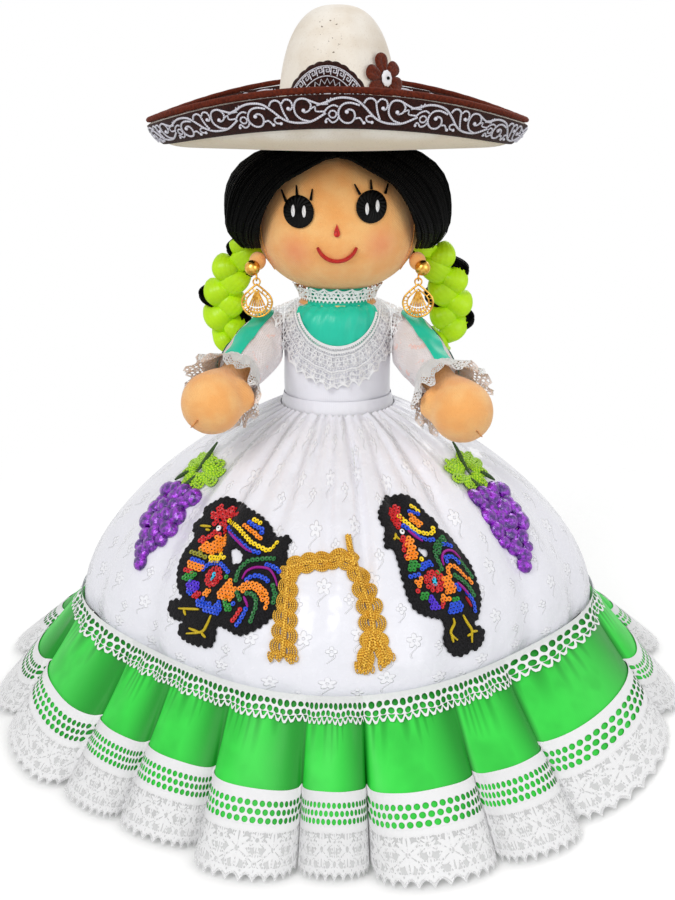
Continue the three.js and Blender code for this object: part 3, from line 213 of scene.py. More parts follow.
# %% [markdown]
# ## The shop for meshes
# Cloth is a grid that is bent into place. Each helper starts from a bmesh operator, keeps a UV map
# in metres, because weave, lace and stitches have real sizes, and ends with faces that point outwards.

# %% Meshes
def piece_of(name, bm, finish, body, smooth=True, stands_for=()):
    """Turns a bmesh into a finished piece that rides on a body."""
    for face in bm.faces:
        face.smooth = smooth
    mesh = bpy.data.meshes.new(name)
    bm.to_mesh(mesh)
    bm.free()
    piece = bpy.data.objects.new(name, mesh)
    link(piece)
    finish_of(piece, finish)
    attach(piece, body)
    if stands_for:
        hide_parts(*stands_for)
    return piece


def merge(bm, part):
    """Moves all that one bmesh holds into another."""
    spare = bpy.data.meshes.new("spare")
    part.to_mesh(spare)
    part.free()
    bm.from_mesh(spare)
    bpy.data.meshes.remove(spare)
    return bm


def cut_off(bm, place, square):
    """Cuts a bmesh with a plane and drops the part on the side that square points to."""
    bmesh.ops.bisect_plane(bm, geom=bm.verts[:] + bm.edges[:] + bm.faces[:], plane_co=place, plane_no=square,
                           clear_outer=True)


def fill_holes(bm):
    bmesh.ops.holes_fill(bm, edges=[e for e in bm.edges if e.is_boundary])


def evened(bm):
    bmesh.ops.smooth_vert(bm, verts=bm.verts, factor=0.5, use_axis_x=True, use_axis_y=True, use_axis_z=True)
    return bm


def egg(sides, rings, radii=(1, 1, 1)):
    """A ball stretched to its three radii."""
    bm = bmesh.new()
    bmesh.ops.create_uvsphere(bm, u_segments=sides, v_segments=rings, radius=1)
    bmesh.ops.scale(bm, vec=radii, verts=bm.verts)
    return bm


def round_angle(u):
    """u from 0 to 1 as an angle from behind, past the front, to behind again."""
    return (u - 0.5) * 2 * math.pi


def around(r, angle, z, deep=1):
    """The point r out at an angle from the front and z up; deep squashes it from front to back."""
    return Vector((r * math.sin(angle), -deep * r * math.cos(angle), z))


def grid(columns, rows, place, size=(1, 1), closed=False):
    """A grid whose points lie at place(u, v), u across and v up, with UVs of the size in metres."""
    bm = bmesh.new()
    uvs = bm.loops.layers.uv.new("UVMap")
    bmesh.ops.create_grid(bm, x_segments=columns, y_segments=rows, size=0.5, calc_uvs=True)
    for face in bm.faces:
        for loop in face.loops:
            u, v = loop.vert.co.x + 0.5, loop.vert.co.y + 0.5
            loop[uvs].uv = (u * size[0], v * size[1])
    for vert in bm.verts:
        vert.co = place(vert.co.x + 0.5, vert.co.y + 0.5)
    if closed:
        bmesh.ops.remove_doubles(bm, verts=bm.verts, dist=1e-6)
    return bm


def lengthways(path, closed=False):
    """The unit direction at each point of a path."""
    count = len(path)
    steps = []
    for i in range(count):
        before = path[(i - 1) % count] if closed else path[max(0, i - 1)]
        after = path[(i + 1) % count] if closed else path[min(count - 1, i + 1)]
        steps.append((after - before).normalized())
    return steps


def tube(bm, path, radius, sides=6, closed=False, flat=1, facing=None):
    """A tube along a path: radius may be a function, flat squashes it along the facing direction."""
    count = len(path)
    radii = radius if callable(radius) else (lambda t: radius)
    frames = []
    side = None
    for i, step in enumerate(lengthways(path, closed)):
        if facing:
            side = facing(i / (count - 1)).cross(step).normalized()
        elif side is None:
            side = step.orthogonal().normalized()
        else:
            side = (side - step * side.dot(step)).normalized()
        frames.append((side, step.cross(side).normalized()))

    def place(u, v):
        i = round(v * count) % count if closed else round(v * (count - 1))
        a, b = frames[i]
        turn = -2 * math.pi * u
        return path[i] + radii(i / (count - 1)) * (math.cos(turn) * a + flat * math.sin(turn) * b)

    length = sum((b - a).length for a, b in zip(path, path[1:]))
    rows = count if closed else count - 1
    return merge(bm, grid(sides, rows, place, (2 * math.pi * radii(0.5), length), closed=True))


def smooth_path(points, count):
    """A smooth open curve of count points through the given ones."""
    points = [Vector(p) for p in points]
    spans = len(points) - 1
    path = []
    for i in range(count):
        place = i / (count - 1) * spans
        k = min(spans - 1, int(place))
        t = place - k
        p0, p1, p2, p3 = (points[min(spans, max(0, k + j))] for j in (-1, 0, 1, 2))
        path.append(0.5 * (2 * p1 + (p2 - p0) * t + (2 * p0 - 5 * p1 + 4 * p2 - p3) * t * t
                           + (3 * p1 - p0 - 3 * p2 + p3) * t ** 3))
    return path


def turned(profile, columns, move=lambda p, angle: p):
    """A closed body turned from a profile of (radius, height) in mm, bottom first."""
    def place(u, v):
        angle = round_angle(u)
        k = v * (len(profile) - 1)
        low = min(len(profile) - 2, int(k))
        r = profile[low][0] + (profile[low + 1][0] - profile[low][0]) * (k - low)
        z = profile[low][1] + (profile[low + 1][1] - profile[low][1]) * (k - low)
        return Vector(move(around(r, angle, z), angle)) * MM
    high = sum(math.dist(a, b) for a, b in zip(profile, profile[1:])) * MM
    wide = 2 * math.pi * max(r for r, _ in profile) * MM
    return grid(columns, len(profile) - 1, place, (wide, high), closed=True)


print("grids, tubes and turned bodies are ready")

# %% [markdown]
# ## Floor and light
# A product photograph on white has big soft lamps and a sheet of white paper. Here the world is the
# soft light from all round, a large lamp in front gives the shapes their shading, and the paper is white
# where the camera looks at it. It still darkens under the skirt, which tells that the doll stands on it.

# %% Floor and light
def lamp(name, place, target, size, power):
    light = bpy.data.lights.new(name, "AREA")
    light.size = size
    light.energy = power
    thing = bpy.data.objects.new(name, light)
    thing.location = place
    thing.rotation_euler = (Vector(target) - Vector(place)).to_track_quat("-Z", "Y").to_euler()
    link(thing)


lamp("key lamp", (-0.75, -1.3, 1.25), (0, 0, 0.2), 0.8, 12.5)
lamp("fill lamp", (1.1, -1.1, 0.7), (0, 0, 0.18), 0.9, 5)
lamp("rim lamp", (0.5, 1.2, 1.1), (0, 0, 0.25), 0.8, 6)

world = bpy.data.worlds.new("white room")
bpy.context.scene.world = world
world.use_nodes = True
backdrop = world.node_tree.nodes["Background"]
backdrop.inputs["Color"].default_value = (1, 1, 1, 1)
path_of_light = world.node_tree.nodes.new("ShaderNodeLightPath")
seen = Wire(world.node_tree, path_of_light.outputs["Is Camera Ray"])
mirrored = Wire(world.node_tree, path_of_light.outputs["Is Glossy Ray"])
through = Wire(world.node_tree, path_of_light.outputs["Is Transmission Ray"])
ROOM_LIGHT = 0.57
white_share = seen.most(mirrored).most(through)
world.node_tree.links.new((ROOM_LIGHT + (1 - ROOM_LIGHT) * white_share).socket, backdrop.inputs["Strength"])

paper = Finish("white paper", None, Roughness=1.0, Specular_IOR_Level=0.0)
paper_looks = paper.node("LightPath", out="Is Camera Ray")
paper.set(Base_Color=paper.mix(paper_looks, ink("#d8d8d8"), ink("#ffffff")), Emission_Strength=0.16)
paper.set(Emission_Color=paper.mix(paper_looks, (0, 0, 0, 1), (1, 1, 1, 1)))
paper_x, paper_y = paper.xyz()[:2]
paper_reach = (paper_x * paper_x + paper_y * paper_y).root()
paper.set(Alpha=1 - paper_reach.ramp(0.3, 0.62))
floor_mesh = bmesh.new()
bmesh.ops.create_grid(floor_mesh, x_segments=1, y_segments=1, size=6)
floor_data = bpy.data.meshes.new("floor")
floor_mesh.to_mesh(floor_data)
floor_mesh.free()
floor = bpy.data.objects.new("floor", floor_data)
link(floor)
floor_data.materials.append(paper.material)
print("lamps and a paper floor are up")

# %% [markdown]
# ## The shapes that the cloth hangs in
# The skirt is a bell. Its line starts almost level at the waist and is upright where the flounce is sewn on.
# Seen from above the bell isn't round: it is fullest in front, behind and at both sides. The flounce
# hangs in separate flutes, each with its own width and its own fullness, as gathered satin does.
# These are the same lines that the solid model follows, so that the cloth lies where the solids are.

# %% Bell and flutes
WAIST_RADIUS, SEAM_RADIUS, HEM_RADIUS = 33, 150, 174
FLOUNCE_DROP, BELL_HEIGHT = 70, 115
DRAWN_IN = 13
FLUTE_DEPTH = 35
GAP = 0.3
HEM_CLEAR = 1.0
DEEPEST_FOLD = 4.6
BACK_FLUTE = 0.934
# where each flute starts, in degrees round from the front, the depth of the fold there, and its fullness
FLUTES = [
    (4.8, 0.31, 1.0), (23.2, 0.54, 0.94), (38.9, 0.31, 0.74), (80, 0.37, 0.97), (103, 0.46, 1.49),
    (124, 0.34, 0.89), (142, 0.26, 0.83), (160, 0.3, BACK_FLUTE), (180, 0.31, BACK_FLUTE),
    (200, 0.3, 0.83), (218, 0.26, 0.89), (236, 0.34, 1.49), (257, 0.46, 0.97), (280, 0.37, 0.69),
    (307.7, 0.06, 0.46), (322.3, 0.06, 0.46), (338.1, 0.06, 0.86), (354.1, 0.31, 0.71),
]


def bell_line(s):
    across = math.sin(s * math.pi / 2)
    drop = 0.57 * math.cos(s * math.pi / 2) + 0.43 * (1 - across)
    return WAIST_RADIUS + (SEAM_RADIUS - WAIST_RADIUS) * across, FLOUNCE_DROP + BELL_HEIGHT * drop


def outwards(line, s):
    """The unit vector square to a line at s, as outward and upward parts."""
    r0, z0 = line(max(0, s - 0.001))
    r1, z1 = line(min(1, s + 0.001))
    length = math.hypot(r1 - r0, z1 - z0)
    return (z0 - z1) / length, (r1 - r0) / length


def drawn_in(angle):
    return DRAWN_IN * math.sin(2 * angle) ** 2


def near(value, middle, width):
    """A smooth hump of height 1 round the middle."""
    return math.exp(-((value - middle) / width) ** 2)


# the skirt's own folds: angle at the waist, angle at the seam, half width, depth, first and last place
SKIRT_FOLDS = [
    (-17, -21, 2.6, 3.6, 0.05, 0.62), (-4, -1, 2.0, 3.4, 0.1, 0.75), (9, 5.5, 1.8, 4.2, 0.03, 0.8),
    (20, 16, 2.4, 3.6, 0.05, 0.55), (-38, -33, 3, 3.8, 0.03, 0.7), (39, 33, 2.8, 3.8, 0.03, 0.65),
    (-27, -26, 2.2, 2.6, 0.02, 0.4), (29, 24, 2.2, 2.6, 0.02, 0.4), (-10, -12, 1.8, 2.2, 0.02, 0.35),
    (-58, -47, 4.5, 3.0, 0.1, 1.2), (60, 49, 4.5, 3.0, 0.1, 1.2), (-82, -72, 5, 3.0, 0.1, 1.2),
    (82, 70, 5, 3.0, 0.1, 1.2), (-110, -104, 5, 3.0, 0.1, 1.2), (108, 101, 5, 3.0, 0.1, 1.2),
    (-140, -134, 5, 3.0, 0.1, 1.2), (136, 140, 5, 3.0, 0.1, 1.2), (-165, -168, 4, 3.0, 0.1, 1.2),
    (167, 161, 4, 3.0, 0.1, 1.2), (-9, -11, 4, 1.6, 0.7, 1.3), (3, 1, 5, 1.8, 0.7, 1.3),
    (26, 25, 4, 1.8, 0.55, 1.2), (-28, -27, 4, 1.6, 0.7, 1.3),
]


def gathers(angle):
    """The small pleats at the waist, from 0 to 1."""
    return 0.5 + 0.5 * math.sin(46 * angle + 2 * math.sin(7 * angle))


def skirt_fold(angle, s):
    """How far the skirt stands off its bell in mm, mostly inwards."""
    degrees = (math.degrees(angle) + 180) % 360 - 180
    push = -0.4
    for at_waist, at_seam, width, depth, first, last in SKIRT_FOLDS:
        middle = at_waist + (at_seam - at_waist) * s
        along = min(1, max(0, (s - first) / 0.15)) * min(1, max(0, (last - s) / 0.25))
        push -= depth * along * near(degrees, middle, width)
    push -= 1.1 * max(0, 1 - s / 0.3) ** 1.5 * gathers(angle)
    return max(push, -DEEPEST_FOLD)


def skirt_point(angle, s, lift=0.0):
    """The skirt's surface in metres, lift mm above the cloth."""
    r, z = bell_line(s)
    out, up = outwards(bell_line, s)
    push = skirt_fold(angle, s) - drawn_in(angle) * math.sin(s * math.pi / 2) ** 2 + lift
    r += push * out
    return around(r, angle, z + push * up) * MM


def flute_point(place, s, lift=0.0):
    """The flounce's surface: place counts round it in flutes, s runs from the seam to the hem."""
    count = len(FLUTES)
    number = math.floor(place + 1e-6)
    share = max(0.0, place - number)
    start, fold, full = FLUTES[number % count]
    after = FLUTES[(number + 1) % count]
    end = after[0] + 360 * ((number + 1) // count)
    start += 360 * (number // count)
    fold += (after[1] - fold) * share
    rounded = max(0, math.sin(math.pi * share)) ** 0.42
    lean = -0.09 * math.sin(2 * math.pi * share) * min(1, s * 1.6)
    angle = math.radians(start + (end - start) * (share + lean))
    ripple = 1.5 * math.sin(16 * place + 3 * math.sin(place)) * math.exp(-s * 4.5) * min(1, s * 30)
    r = SEAM_RADIUS + (HEM_RADIUS - SEAM_RADIUS) * s
    r += FLUTE_DEPTH * (fold + (full - fold) * rounded) * s - drawn_in(angle) * (1 - s) + ripple + lift
    z = FLOUNCE_DROP - GAP - (FLOUNCE_DROP - GAP - HEM_CLEAR) * s
    return around(r, angle, z) * MM


print("the bell is", round(bell_line(0)[1] - bell_line(1)[1]), "mm high, the flounce has", len(FLUTES), "flutes")

# %% [markdown]
# ## Satin
# Satin is smooth cloth whose long floating threads shine across the weave. The white cloth of the skirt also
# has small flowers woven into it, which show only where the light catches them. Here each cell of a grid
# holds one flower, drawn as petals round a middle by the angle and the distance from it, and both the
# relief and the roughness follow it, so it changes the shine and not the colour.

# %% Satin finishes
def satin(name, slot, light, deep, shine=0.38, painted_crease_shade=None, ribs=0.0):
    """The optional crease function gives painted shade: 1 where the colour is darkened to deep in a crease; ribs is how
    strongly it is drawn lengthways.
    """
    cloth = Finish(name, slot, Metallic=0.0, Specular_IOR_Level=0.32)
    u, v = cloth.across()
    threads = (u * 5200).sin() * 0.5 + 0.5
    slubs = cloth.noise(0.02, 2)
    shade = slubs.ramp(0.3, 0.75) * 0.3
    # painted shade: where the crease function marks a crease, the colour goes to the deep one, on top of the slubs' own
    # tone
    if painted_crease_shade:
        shade = shade.most(painted_crease_shade(u, v))
    cloth.set(Base_Color=cloth.mix(shade, light, deep))
    cloth.set(Roughness=shine + 0.08 * slubs)
    wrinkles = cloth.noise(0.022, 2)
    drawn = (u * 2100 + 3 * (v * 120).sin()).sin() * 0.5 + 0.5
    cloth.bump(wrinkles * 0.7 + threads * 0.02 + drawn * ribs, 0.0018, 0.5)
    return cloth


def brocade(name, slot):
    """White satin with small flowers and sprigs woven in."""
    cloth = Finish(name, slot, Specular_IOR_Level=0.5, Sheen_Weight=0.15)
    u, v = cloth.across()
    worked = None
    for cell, shift, petals, size in ((0.030, 0.0, 5, 0.0052), (0.030, 0.015, 4, 0.0036)):
        a, b = (u + shift) / cell, (v + shift * 0.7) / cell
        row = b.floor()
        a = a + 0.5 * (row % 2)
        x = ((a % 1) - 0.5 + 0.12 * (row * 3.7).sin()) * cell
        y = ((b % 1) - 0.5 + 0.12 * (a.floor() * 2.3).sin()) * cell
        reach = (x * x + y * y).root()
        turn = x.angle(y)
        edge = size * (0.55 + 0.45 * abs((turn * (petals / 2)).cos()))
        flower = (edge - reach).ramp(0, 0.0008)
        core = (0.0011 - reach).ramp(0, 0.0005)
        stem = (0.0006 - abs(x - 0.12 * y + 0.002 * (y * 500).sin())).ramp(0, 0.0004)
        stem = stem * (y < -0.3 * size) * (y > -2.2 * size)
        shape = flower.most(stem) - core
        worked = shape if worked is None else worked.most(shape)
    slubs = cloth.noise(0.007, 3)
    cloth.set(Base_Color=cloth.mix(worked * 0.5 + slubs * 0.3, ink("#eeeef6"), ink("#fbfbfe")))
    cloth.set(Roughness=0.24 + 0.25 * worked + 0.06 * slubs)
    wrinkles = cloth.noise(0.03, 3)
    wander = cloth.noise(0.07, 2)
    drawn = (u * 150 + 9 * wander + 14 * v).sin() * 0.5 + 0.5
    drawn = drawn * drawn * (v - 0.02).ramp(0, 0.12)
    cloth.bump(wrinkles * 0.75 + drawn * 0.4 + worked * 0.12 + slubs * 0.05, 0.005, 0.8)
    return cloth


white_satin = brocade("flowered white satin", "satin")
plain_white = satin("plain white satin", "satin", ink("#f4f4fa"), ink("#e6e4f0"))
FLOUNCE_CLOTH = 1.9


def painted_flute_shade(u, v):
    """Painted shade from 0 to 1: over one side of each flute and in the crease between flutes, over the small gathers
    by the seam, and a painted shadow close under the seam.
    """
    share = (u * (len(FLUTES) / FLOUNCE_CLOTH)) % 1
    # painted shade over the second half of each flute and at its start, where it tucks under the one before
    crease = ((share - 0.42).ramp(0, 0.5) * 0.9).most((0.07 - share).ramp(0, 0.07))
    painted_gather_shade = ((u * 520 + 3 * (u * 95).sin()).sin() * 0.5 + 0.5) * (v - 0.022).ramp(0, 0.026)
    return crease.most(painted_gather_shade * 0.8).most((v - 0.041).ramp(0, 0.009))


# the green's deep colour doubles as painted shade in the flounce's creases and under its seam
green_satin = satin("green satin", "green_satin", ink("#38e24a"), ink("#07861d"), 0.42, painted_flute_shade)
teal_satin = satin("teal satin", "teal_satin", ink("#25c9a8"), ink("#0d937c"), 0.3)
lime_satin = satin("lime satin ribbon", "lime_satin", ink("#c6f512"), ink("#83bd00"), 0.28, ribs=0.08)
print("satins:", [f.material.name for f in (white_satin, plain_white, green_satin, teal_satin, lime_satin)])

# %% [markdown]
# ## Lace
# Machine lace is net with thread over it. Where the holes are, nothing is there, so the holes are cut with
# the shader's Alpha, in the lace's own two coordinates: across in metres, and up from its lower edge. A trimming
# is drawn in bands, each with its own formula: a solid strip, rows of mesh, and flowers on a ground of
# fine net above the scalloped edge.

# %% Lace finishes
def lace_finish(name, bands):
    """bands(u, v) returns a share of thread, from 0 for a hole to 1 for thread."""
    cloth = Finish(name, "lace", Roughness=0.85, Specular_IOR_Level=0.2)
    u, v = cloth.across()
    thread = bands(u, v)
    twist = (u * 9000 + v * 4000).sin() * 0.5 + 0.5
    cloth.set(Base_Color=cloth.mix(twist * 0.35, ink("#ffffff"), ink("#eaeaf0")))
    cloth.set(Alpha=thread.ramp(0.35, 0.6))
    cloth.bump(thread * 0.8 + twist * 0.2, 0.0007, 0.8)
    return cloth


def mesh_holes(u, v, pitch, bar):
    """Rows of round holes, each row half a hole along from the last; bar is the thread's width."""
    row = (v / pitch).floor()
    x = ((u / pitch + 0.5 * (row % 2)) % 1) - 0.5
    y = ((v / pitch) % 1) - 0.5
    reach = (x * x + y * y).root() * pitch
    return (reach - (pitch / 2 - bar)).ramp(0, bar * 0.5)


def flowers_on_net(u, v, cell, size):
    """Six-petalled flowers joined by a fine net."""
    x = ((u / cell) % 1 - 0.5) * cell
    reach = (x * x + v * v).root()
    turn = x.angle(v)
    edge = size * (0.62 + 0.38 * abs((turn * 3).cos()))
    petals = (edge - reach).ramp(0, 0.0006) * (reach - 0.0011).ramp(0, 0.0005)
    veins = (abs((turn * 3).sin()) - 0.16).ramp(0, 0.12)
    return petals * (0.25 + 0.75 * veins).most((0.0024 - reach).ramp(0, 0.0005))


def scallops(u, cell):
    """A row of humps, each cell metres wide, from 0 between them to 1 at their middles."""
    return abs((u * (math.pi / cell)).sin())


def hem_bands(u, v):
    """Three bands: flowers over a scalloped edge, rows of mesh from mesh_from, a strip from strip_from."""
    mesh_from, strip_from, cell = 0.0255, 0.0365, 0.024
    curve = scallops(u, 0.008)
    over = v - mesh_from + 0.0003
    rows = mesh_holes(u * 0.7, v - mesh_from, 0.0037, 0.00062).most((v - mesh_from).ramp(0.0004, 0))
    rows = rows * over.ramp(0, 0.0002) + over.ramp(0.0002, 0)
    big = flowers_on_net(u, v - 0.0150, cell, 0.0088)
    small = flowers_on_net(u + cell / 2, v - 0.0185, cell, 0.0052)
    low = flowers_on_net(u + cell / 2, v - 0.0085, cell, 0.0058)
    edging = (0.0012 - abs(v - 0.004 - 0.0022 * curve)).ramp(0, 0.0004)
    heading = (abs(v - 0.0240) - 0.0012).ramp(0.0004, 0)
    ground = mesh_holes(u, v, 0.0016, 0.00034) * mesh_holes(u + 0.3 * v, v, 0.0058, 0.0012) * 0.9
    floral = big.most(small).most(low).most(edging).most(heading).most(ground)
    floral = floral.most(0.5 * (v - 0.001).ramp(0, 0.0003)) * (v - 0.0008 - 0.0030 * curve).ramp(0, 0.0003)
    floral = floral * (v - mesh_from).ramp(0.0003, 0)
    return (v - strip_from).ramp(0, 0.0004).most(rows * over.ramp(0, 0.0002)).most(floral)


def heading_bands(u, v):
    """Mesh between a strip above and a row of small loops below."""
    mesh_from, strip_from = 0.0026, 0.0088
    rows = mesh_holes(u * 0.6, v - mesh_from, 0.0031, 0.00048)
    loops = (abs(v - 0.0028 + 0.0024 * scallops(u, 0.0052)) - 0.0006).ramp(0.0003, 0)
    return (rows * (v - mesh_from).ramp(0, 0.0002)).most((v - strip_from).ramp(0, 0.0002)).most(loops)


def ruffle_bands(u, v):
    """Narrow scalloped lace, for the neck band and the cuffs; v runs up from its edge."""
    cell = 0.0075
    edge = v - 0.0020 * scallops(u, cell)
    border = (0.0009 - abs(edge - 0.0008)).ramp(0, 0.0003)
    holes = mesh_holes(u, v - 0.001, 0.0026, 0.00062)
    flower = flowers_on_net(u, v - 0.0062, cell, 0.0030)
    solid = (v - 0.0100).ramp(0, 0.001)
    fine = mesh_holes(u, v, 0.00095, 0.00028)
    body = holes.most(flower).most(solid * (0.55 + 0.45 * fine))
    return (body * edge.ramp(0.0002, 0.0005)).most(border)


def bib_bands(u, v):
    """Wide openwork for the bib: a scalloped border, two rows of flowers and a mesh between them."""
    cell = 0.0085
    edge = v - 0.0022 * scallops(u, cell)
    border = (0.0009 - abs(edge - 0.0008)).ramp(0, 0.0003)
    low = flowers_on_net(u, v - 0.0056, cell, 0.0033)
    high = flowers_on_net(u + cell / 2, v - 0.0148, cell, 0.0036)
    ground = mesh_holes(u, v, 0.00125, 0.0003)
    open_rows = mesh_holes(u, v - 0.0092, 0.0028, 0.0007)
    lines = (0.0006 - abs(v - 0.0100)).ramp(0, 0.0003).most((0.0006 - abs(v - 0.0194)).ramp(0, 0.0003))
    body = low.most(high).most(lines).most(ground * open_rows).most((v - 0.0212).ramp(0, 0.0004))
    return (body * edge.ramp(0.0002, 0.0005)).most(border)


hem_lace = lace_finish("wide hem lace", hem_bands)
heading_net = lace_finish("heading net", heading_bands)
ruffle_lace = lace_finish("ruffle lace", ruffle_bands)
bib_lace = lace_finish("bib lace", bib_bands)
stiff_net = Finish("stiff net", "net", Roughness=0.9)
net_threads = mesh_holes(*stiff_net.across(), 0.002, 0.0004)
stiff_net.set(Base_Color=stiff_net.mix(net_threads, ink("#d5d9d6"), ink("#eef0ee")))
stiff_net.bump(net_threads, 0.0004)
print("laces:", [f.material.name for f in (hem_lace, heading_net, ruffle_lace, bib_lace, stiff_net)])

# %% [markdown]
# ## Skirt
# The skirt was sewn from one long strip, gathered into the waistband at the top and into the flounce's seam
# below. A simulation would make some folds, but not these folds, and the patches sewn on it have to follow
# it exactly. So it is a fine grid bent to the bell, with its folds written as a list that names where
# each one runs.

# %% Skirt
def skirt_place(u, v):
    return skirt_point(round_angle(u), 1 - v)


skirt = piece_of("skirt_cloth", grid(432, 110, skirt_place, (0.94, 0.175), closed=True),
                 white_satin, "trunk", stands_for=["skirt"])
print("skirt", len(skirt.data.polygons), "faces")

# %% [markdown]
# ## Flounce, its lace and the heading
# The green satin hangs down to nearly three quarters of the flounce's drop, and the wide lace is sewn over its
# lower part and ends just above the table. Both follow the same flutes. A net heading hides the seam.

# %% Flounce and laces
HEM_LACE_WIDTH = 0.041
HEADING_HEIGHT = 12.0


def flounce_sheet(name, finish, first, last, lift, rows, stands_for, size):
    def place(u, v):
        return flute_point(u * len(FLUTES), last + (first - last) * v, lift)
    bm = grid(len(FLUTES) * 24, rows, place, size, closed=True)
    return piece_of(name, bm, finish, "trunk", stands_for=stands_for)


flounce = flounce_sheet("flounce_satin", green_satin, 0.0, 0.72, 0.0, 26, ["flounce"], (FLOUNCE_CLOTH, 0.05))
lace_edge = flounce_sheet("hem_lace_trim", hem_lace, 0.5, 1.0, 0.9, 22, ["hem_lace"], (1.9, HEM_LACE_WIDTH))


def heading_place(u, v):
    s = (1 - v) * HEADING_HEIGHT
    if s < 4:
        flute = flute_point(u * len(FLUTES), 0, 1.3)
        flute.z += (4.3 - s) * MM
        return flute
    drop = (s - 4) / 11 * 0.16
    return flute_point(u * len(FLUTES), drop, 1.5 + 0.8 * math.sin(u * 400) * (s > 10.5))


heading = piece_of("heading_net", grid(len(FLUTES) * 16, 10, heading_place, (1.12, 0.0121), closed=True),
                   heading_net, "trunk", stands_for=["heading_lace"])

petticoat_profile = [(165, 0.2), (170, 0.4), (170, 3), (140, 66)]
for i in range(9):
    s = 1 - i / 8
    r, z = bell_line(s)
    out, up = outwards(bell_line, s)
    inside = 6.2 * min(1, s / 0.4) + 1.3
    petticoat_profile.append((r - inside * out, z - inside * up))


def petticoat_shape(point, angle):
    x, y, z = point
    share = min(1, max(0, z / 66)) * min(1, max(0, (185 - z) / 60))
    r = math.hypot(x, y) or 1
    narrow = 1 - drawn_in(angle) * share / r
    return x * narrow, y * narrow, z


petticoat = piece_of("petticoat_net", turned(petticoat_profile, 160, petticoat_shape), stiff_net, "trunk",
                     stands_for=["petticoat"])
print("flounce", len(flounce.data.polygons), "faces, lace", len(lace_edge.data.polygons), "faces")

# %% [markdown]
# ## Stuffed cloth
# Head, arms, legs and trunk are sewn bags stuffed hard with fibre. Stuffing pushes evenly from inside, which is
# what Cloth's pressure does: the closed shape is remeshed evenly, blown up for twenty frames with gravity off,
# and no point may move further than a cap, so that it stays the shape it was cut to.

# %% Stuffing
PUFFS = 20


def baked(thing):
    """The mesh that an object's modifiers make, as a new mesh."""
    bpy.context.view_layer.update()
    seen_now = thing.evaluated_get(bpy.context.evaluated_depsgraph_get())
    return bpy.data.meshes.new_from_object(seen_now)


def stuffed(name, bm, finish, body, stands_for, voxel, cap):
    """A stuffed bag: voxel is how fine it is remeshed and cap how far it may swell, both in mm."""
    shell = bpy.data.meshes.new(name)
    bm.to_mesh(shell)
    bm.free()
    bag = bpy.data.objects.new(name + "_bag", shell)
    link(bag)
    remesh = bag.modifiers.new("even faces", "REMESH")
    remesh.mode, remesh.voxel_size = "VOXEL", voxel * MM
    even = baked(bag)
    bag.modifiers.clear()
    bag.data = even
    rest = [v.co.copy() for v in even.vertices]
    cloth = bag.modifiers.new("stuffing", "CLOTH")
    cloth.settings.use_pressure = True
    cloth.settings.uniform_pressure_force = 4
    cloth.settings.effector_weights.gravity = 0
    cloth.settings.tension_stiffness = cloth.settings.compression_stiffness = 12
    cloth.point_cache.frame_end = PUFFS
    for number in range(1, PUFFS + 1):
        bpy.context.scene.frame_set(number)
    blown = baked(bag)
    for vertex, start, end in zip(even.vertices, rest, [v.co.copy() for v in blown.vertices]):
        step = end - start
        vertex.co = start + step * min(1, cap * MM / max(step.length, 1e-9))
    bag.modifiers.clear()
    bpy.context.scene.frame_set(1)
    finer = bag.modifiers.new("finer", "SUBSURF")
    finer.levels = finer.render_levels = 1
    final = bmesh.new()
    final.from_mesh(baked(bag))
    bpy.data.objects.remove(bag)
    piece = piece_of(name, evened(final), finish, body, stands_for=stands_for)


def felted(name, cheeks=()):
    """Brushed cotton: short fibres, a soft mottle, and a blush round each of the given places."""
    cloth = Finish(name, "skin", Roughness=0.9, Specular_IOR_Level=0.2, Sheen_Weight=0.35, Sheen_Roughness=0.6)
    mottle = cloth.noise(0.012, 4)
    colour = cloth.mix(mottle.ramp(0.3, 0.75), ink("#fbb265"), ink("#ffc67e"))
    x, y, z = cloth.xyz()
    for cx, cy, cz, radius in cheeks:
        reach = ((x - cx) * (x - cx) + (y - cy) * (y - cy) + (z - cz) * (z - cz)).root()
        colour = cloth.mix((radius - reach).ramp(0, radius) * 0.5, colour, ink("#ef7a5a"))
    cloth.set(Base_Color=colour)
    weave = ((x * 5200).sin() * (z * 5200).sin()) * 0.5 + 0.5
    cloth.bump(weave * 0.25 + cloth.noise(0.0014, 3) * 0.5 + mottle * 0.6, 0.0008, 0.7)
    return cloth


skin_cloth = felted("peach cloth")
face_cloth = felted("peach cloth with blush",
                    cheeks=[(-0.0229, -0.036, 0.2743, 0.0145), (0.0231, -0.036, 0.2786, 0.0145)])
seam_thread = Finish("orange seam thread", "skin", Roughness=0.8)
seam_v = seam_thread.across()[1]
stitches = (seam_v * 2600).sin().ramp(-0.4, 0.6)
seam_thread.set(Base_Color=seam_thread.mix(stitches, ink("#d98a3c"), ink("#f0a558")))
print("stuffing and its cloth are ready")

# %% [markdown]
# ## Trunk and legs
# The trunk is a stuffed bag with a short neck, and two plain stuffed legs hang from it inside the skirt.
# Nobody sees them unless the doll is lifted, but the dresses hang on them.

# %% Trunk and legs
SHOULDERS, SHOULDER_DROP = 240, 13
NECK_RADIUS, CHEST_RADIUS = 20.5, 28.5


def trunk_line(s):
    """From the neck at 0, over the shoulder at 0.5, to the waist at 1."""
    if s >= 0.5:
        return CHEST_RADIUS, SHOULDERS - SHOULDER_DROP - 42 * (s - 0.5) / 0.5
    angle = s * math.pi
    out, rise = math.sin(angle) ** 0.75, max(0, math.cos(angle)) ** 0.75
    return NECK_RADIUS + (CHEST_RADIUS - NECK_RADIUS) * out, SHOULDERS - SHOULDER_DROP * (1 - rise)


def trunk_point(angle, s, lift):
    """The dressed trunk's surface, lift mm off the stuffed one."""
    r, z = trunk_line(min(1, s))
    if s > 1:
        z -= (s - 1) * 84
    out, up = outwards(trunk_line, min(1, s))
    r += lift * out
    return around(r, angle, z + lift * up, 0.95) * MM


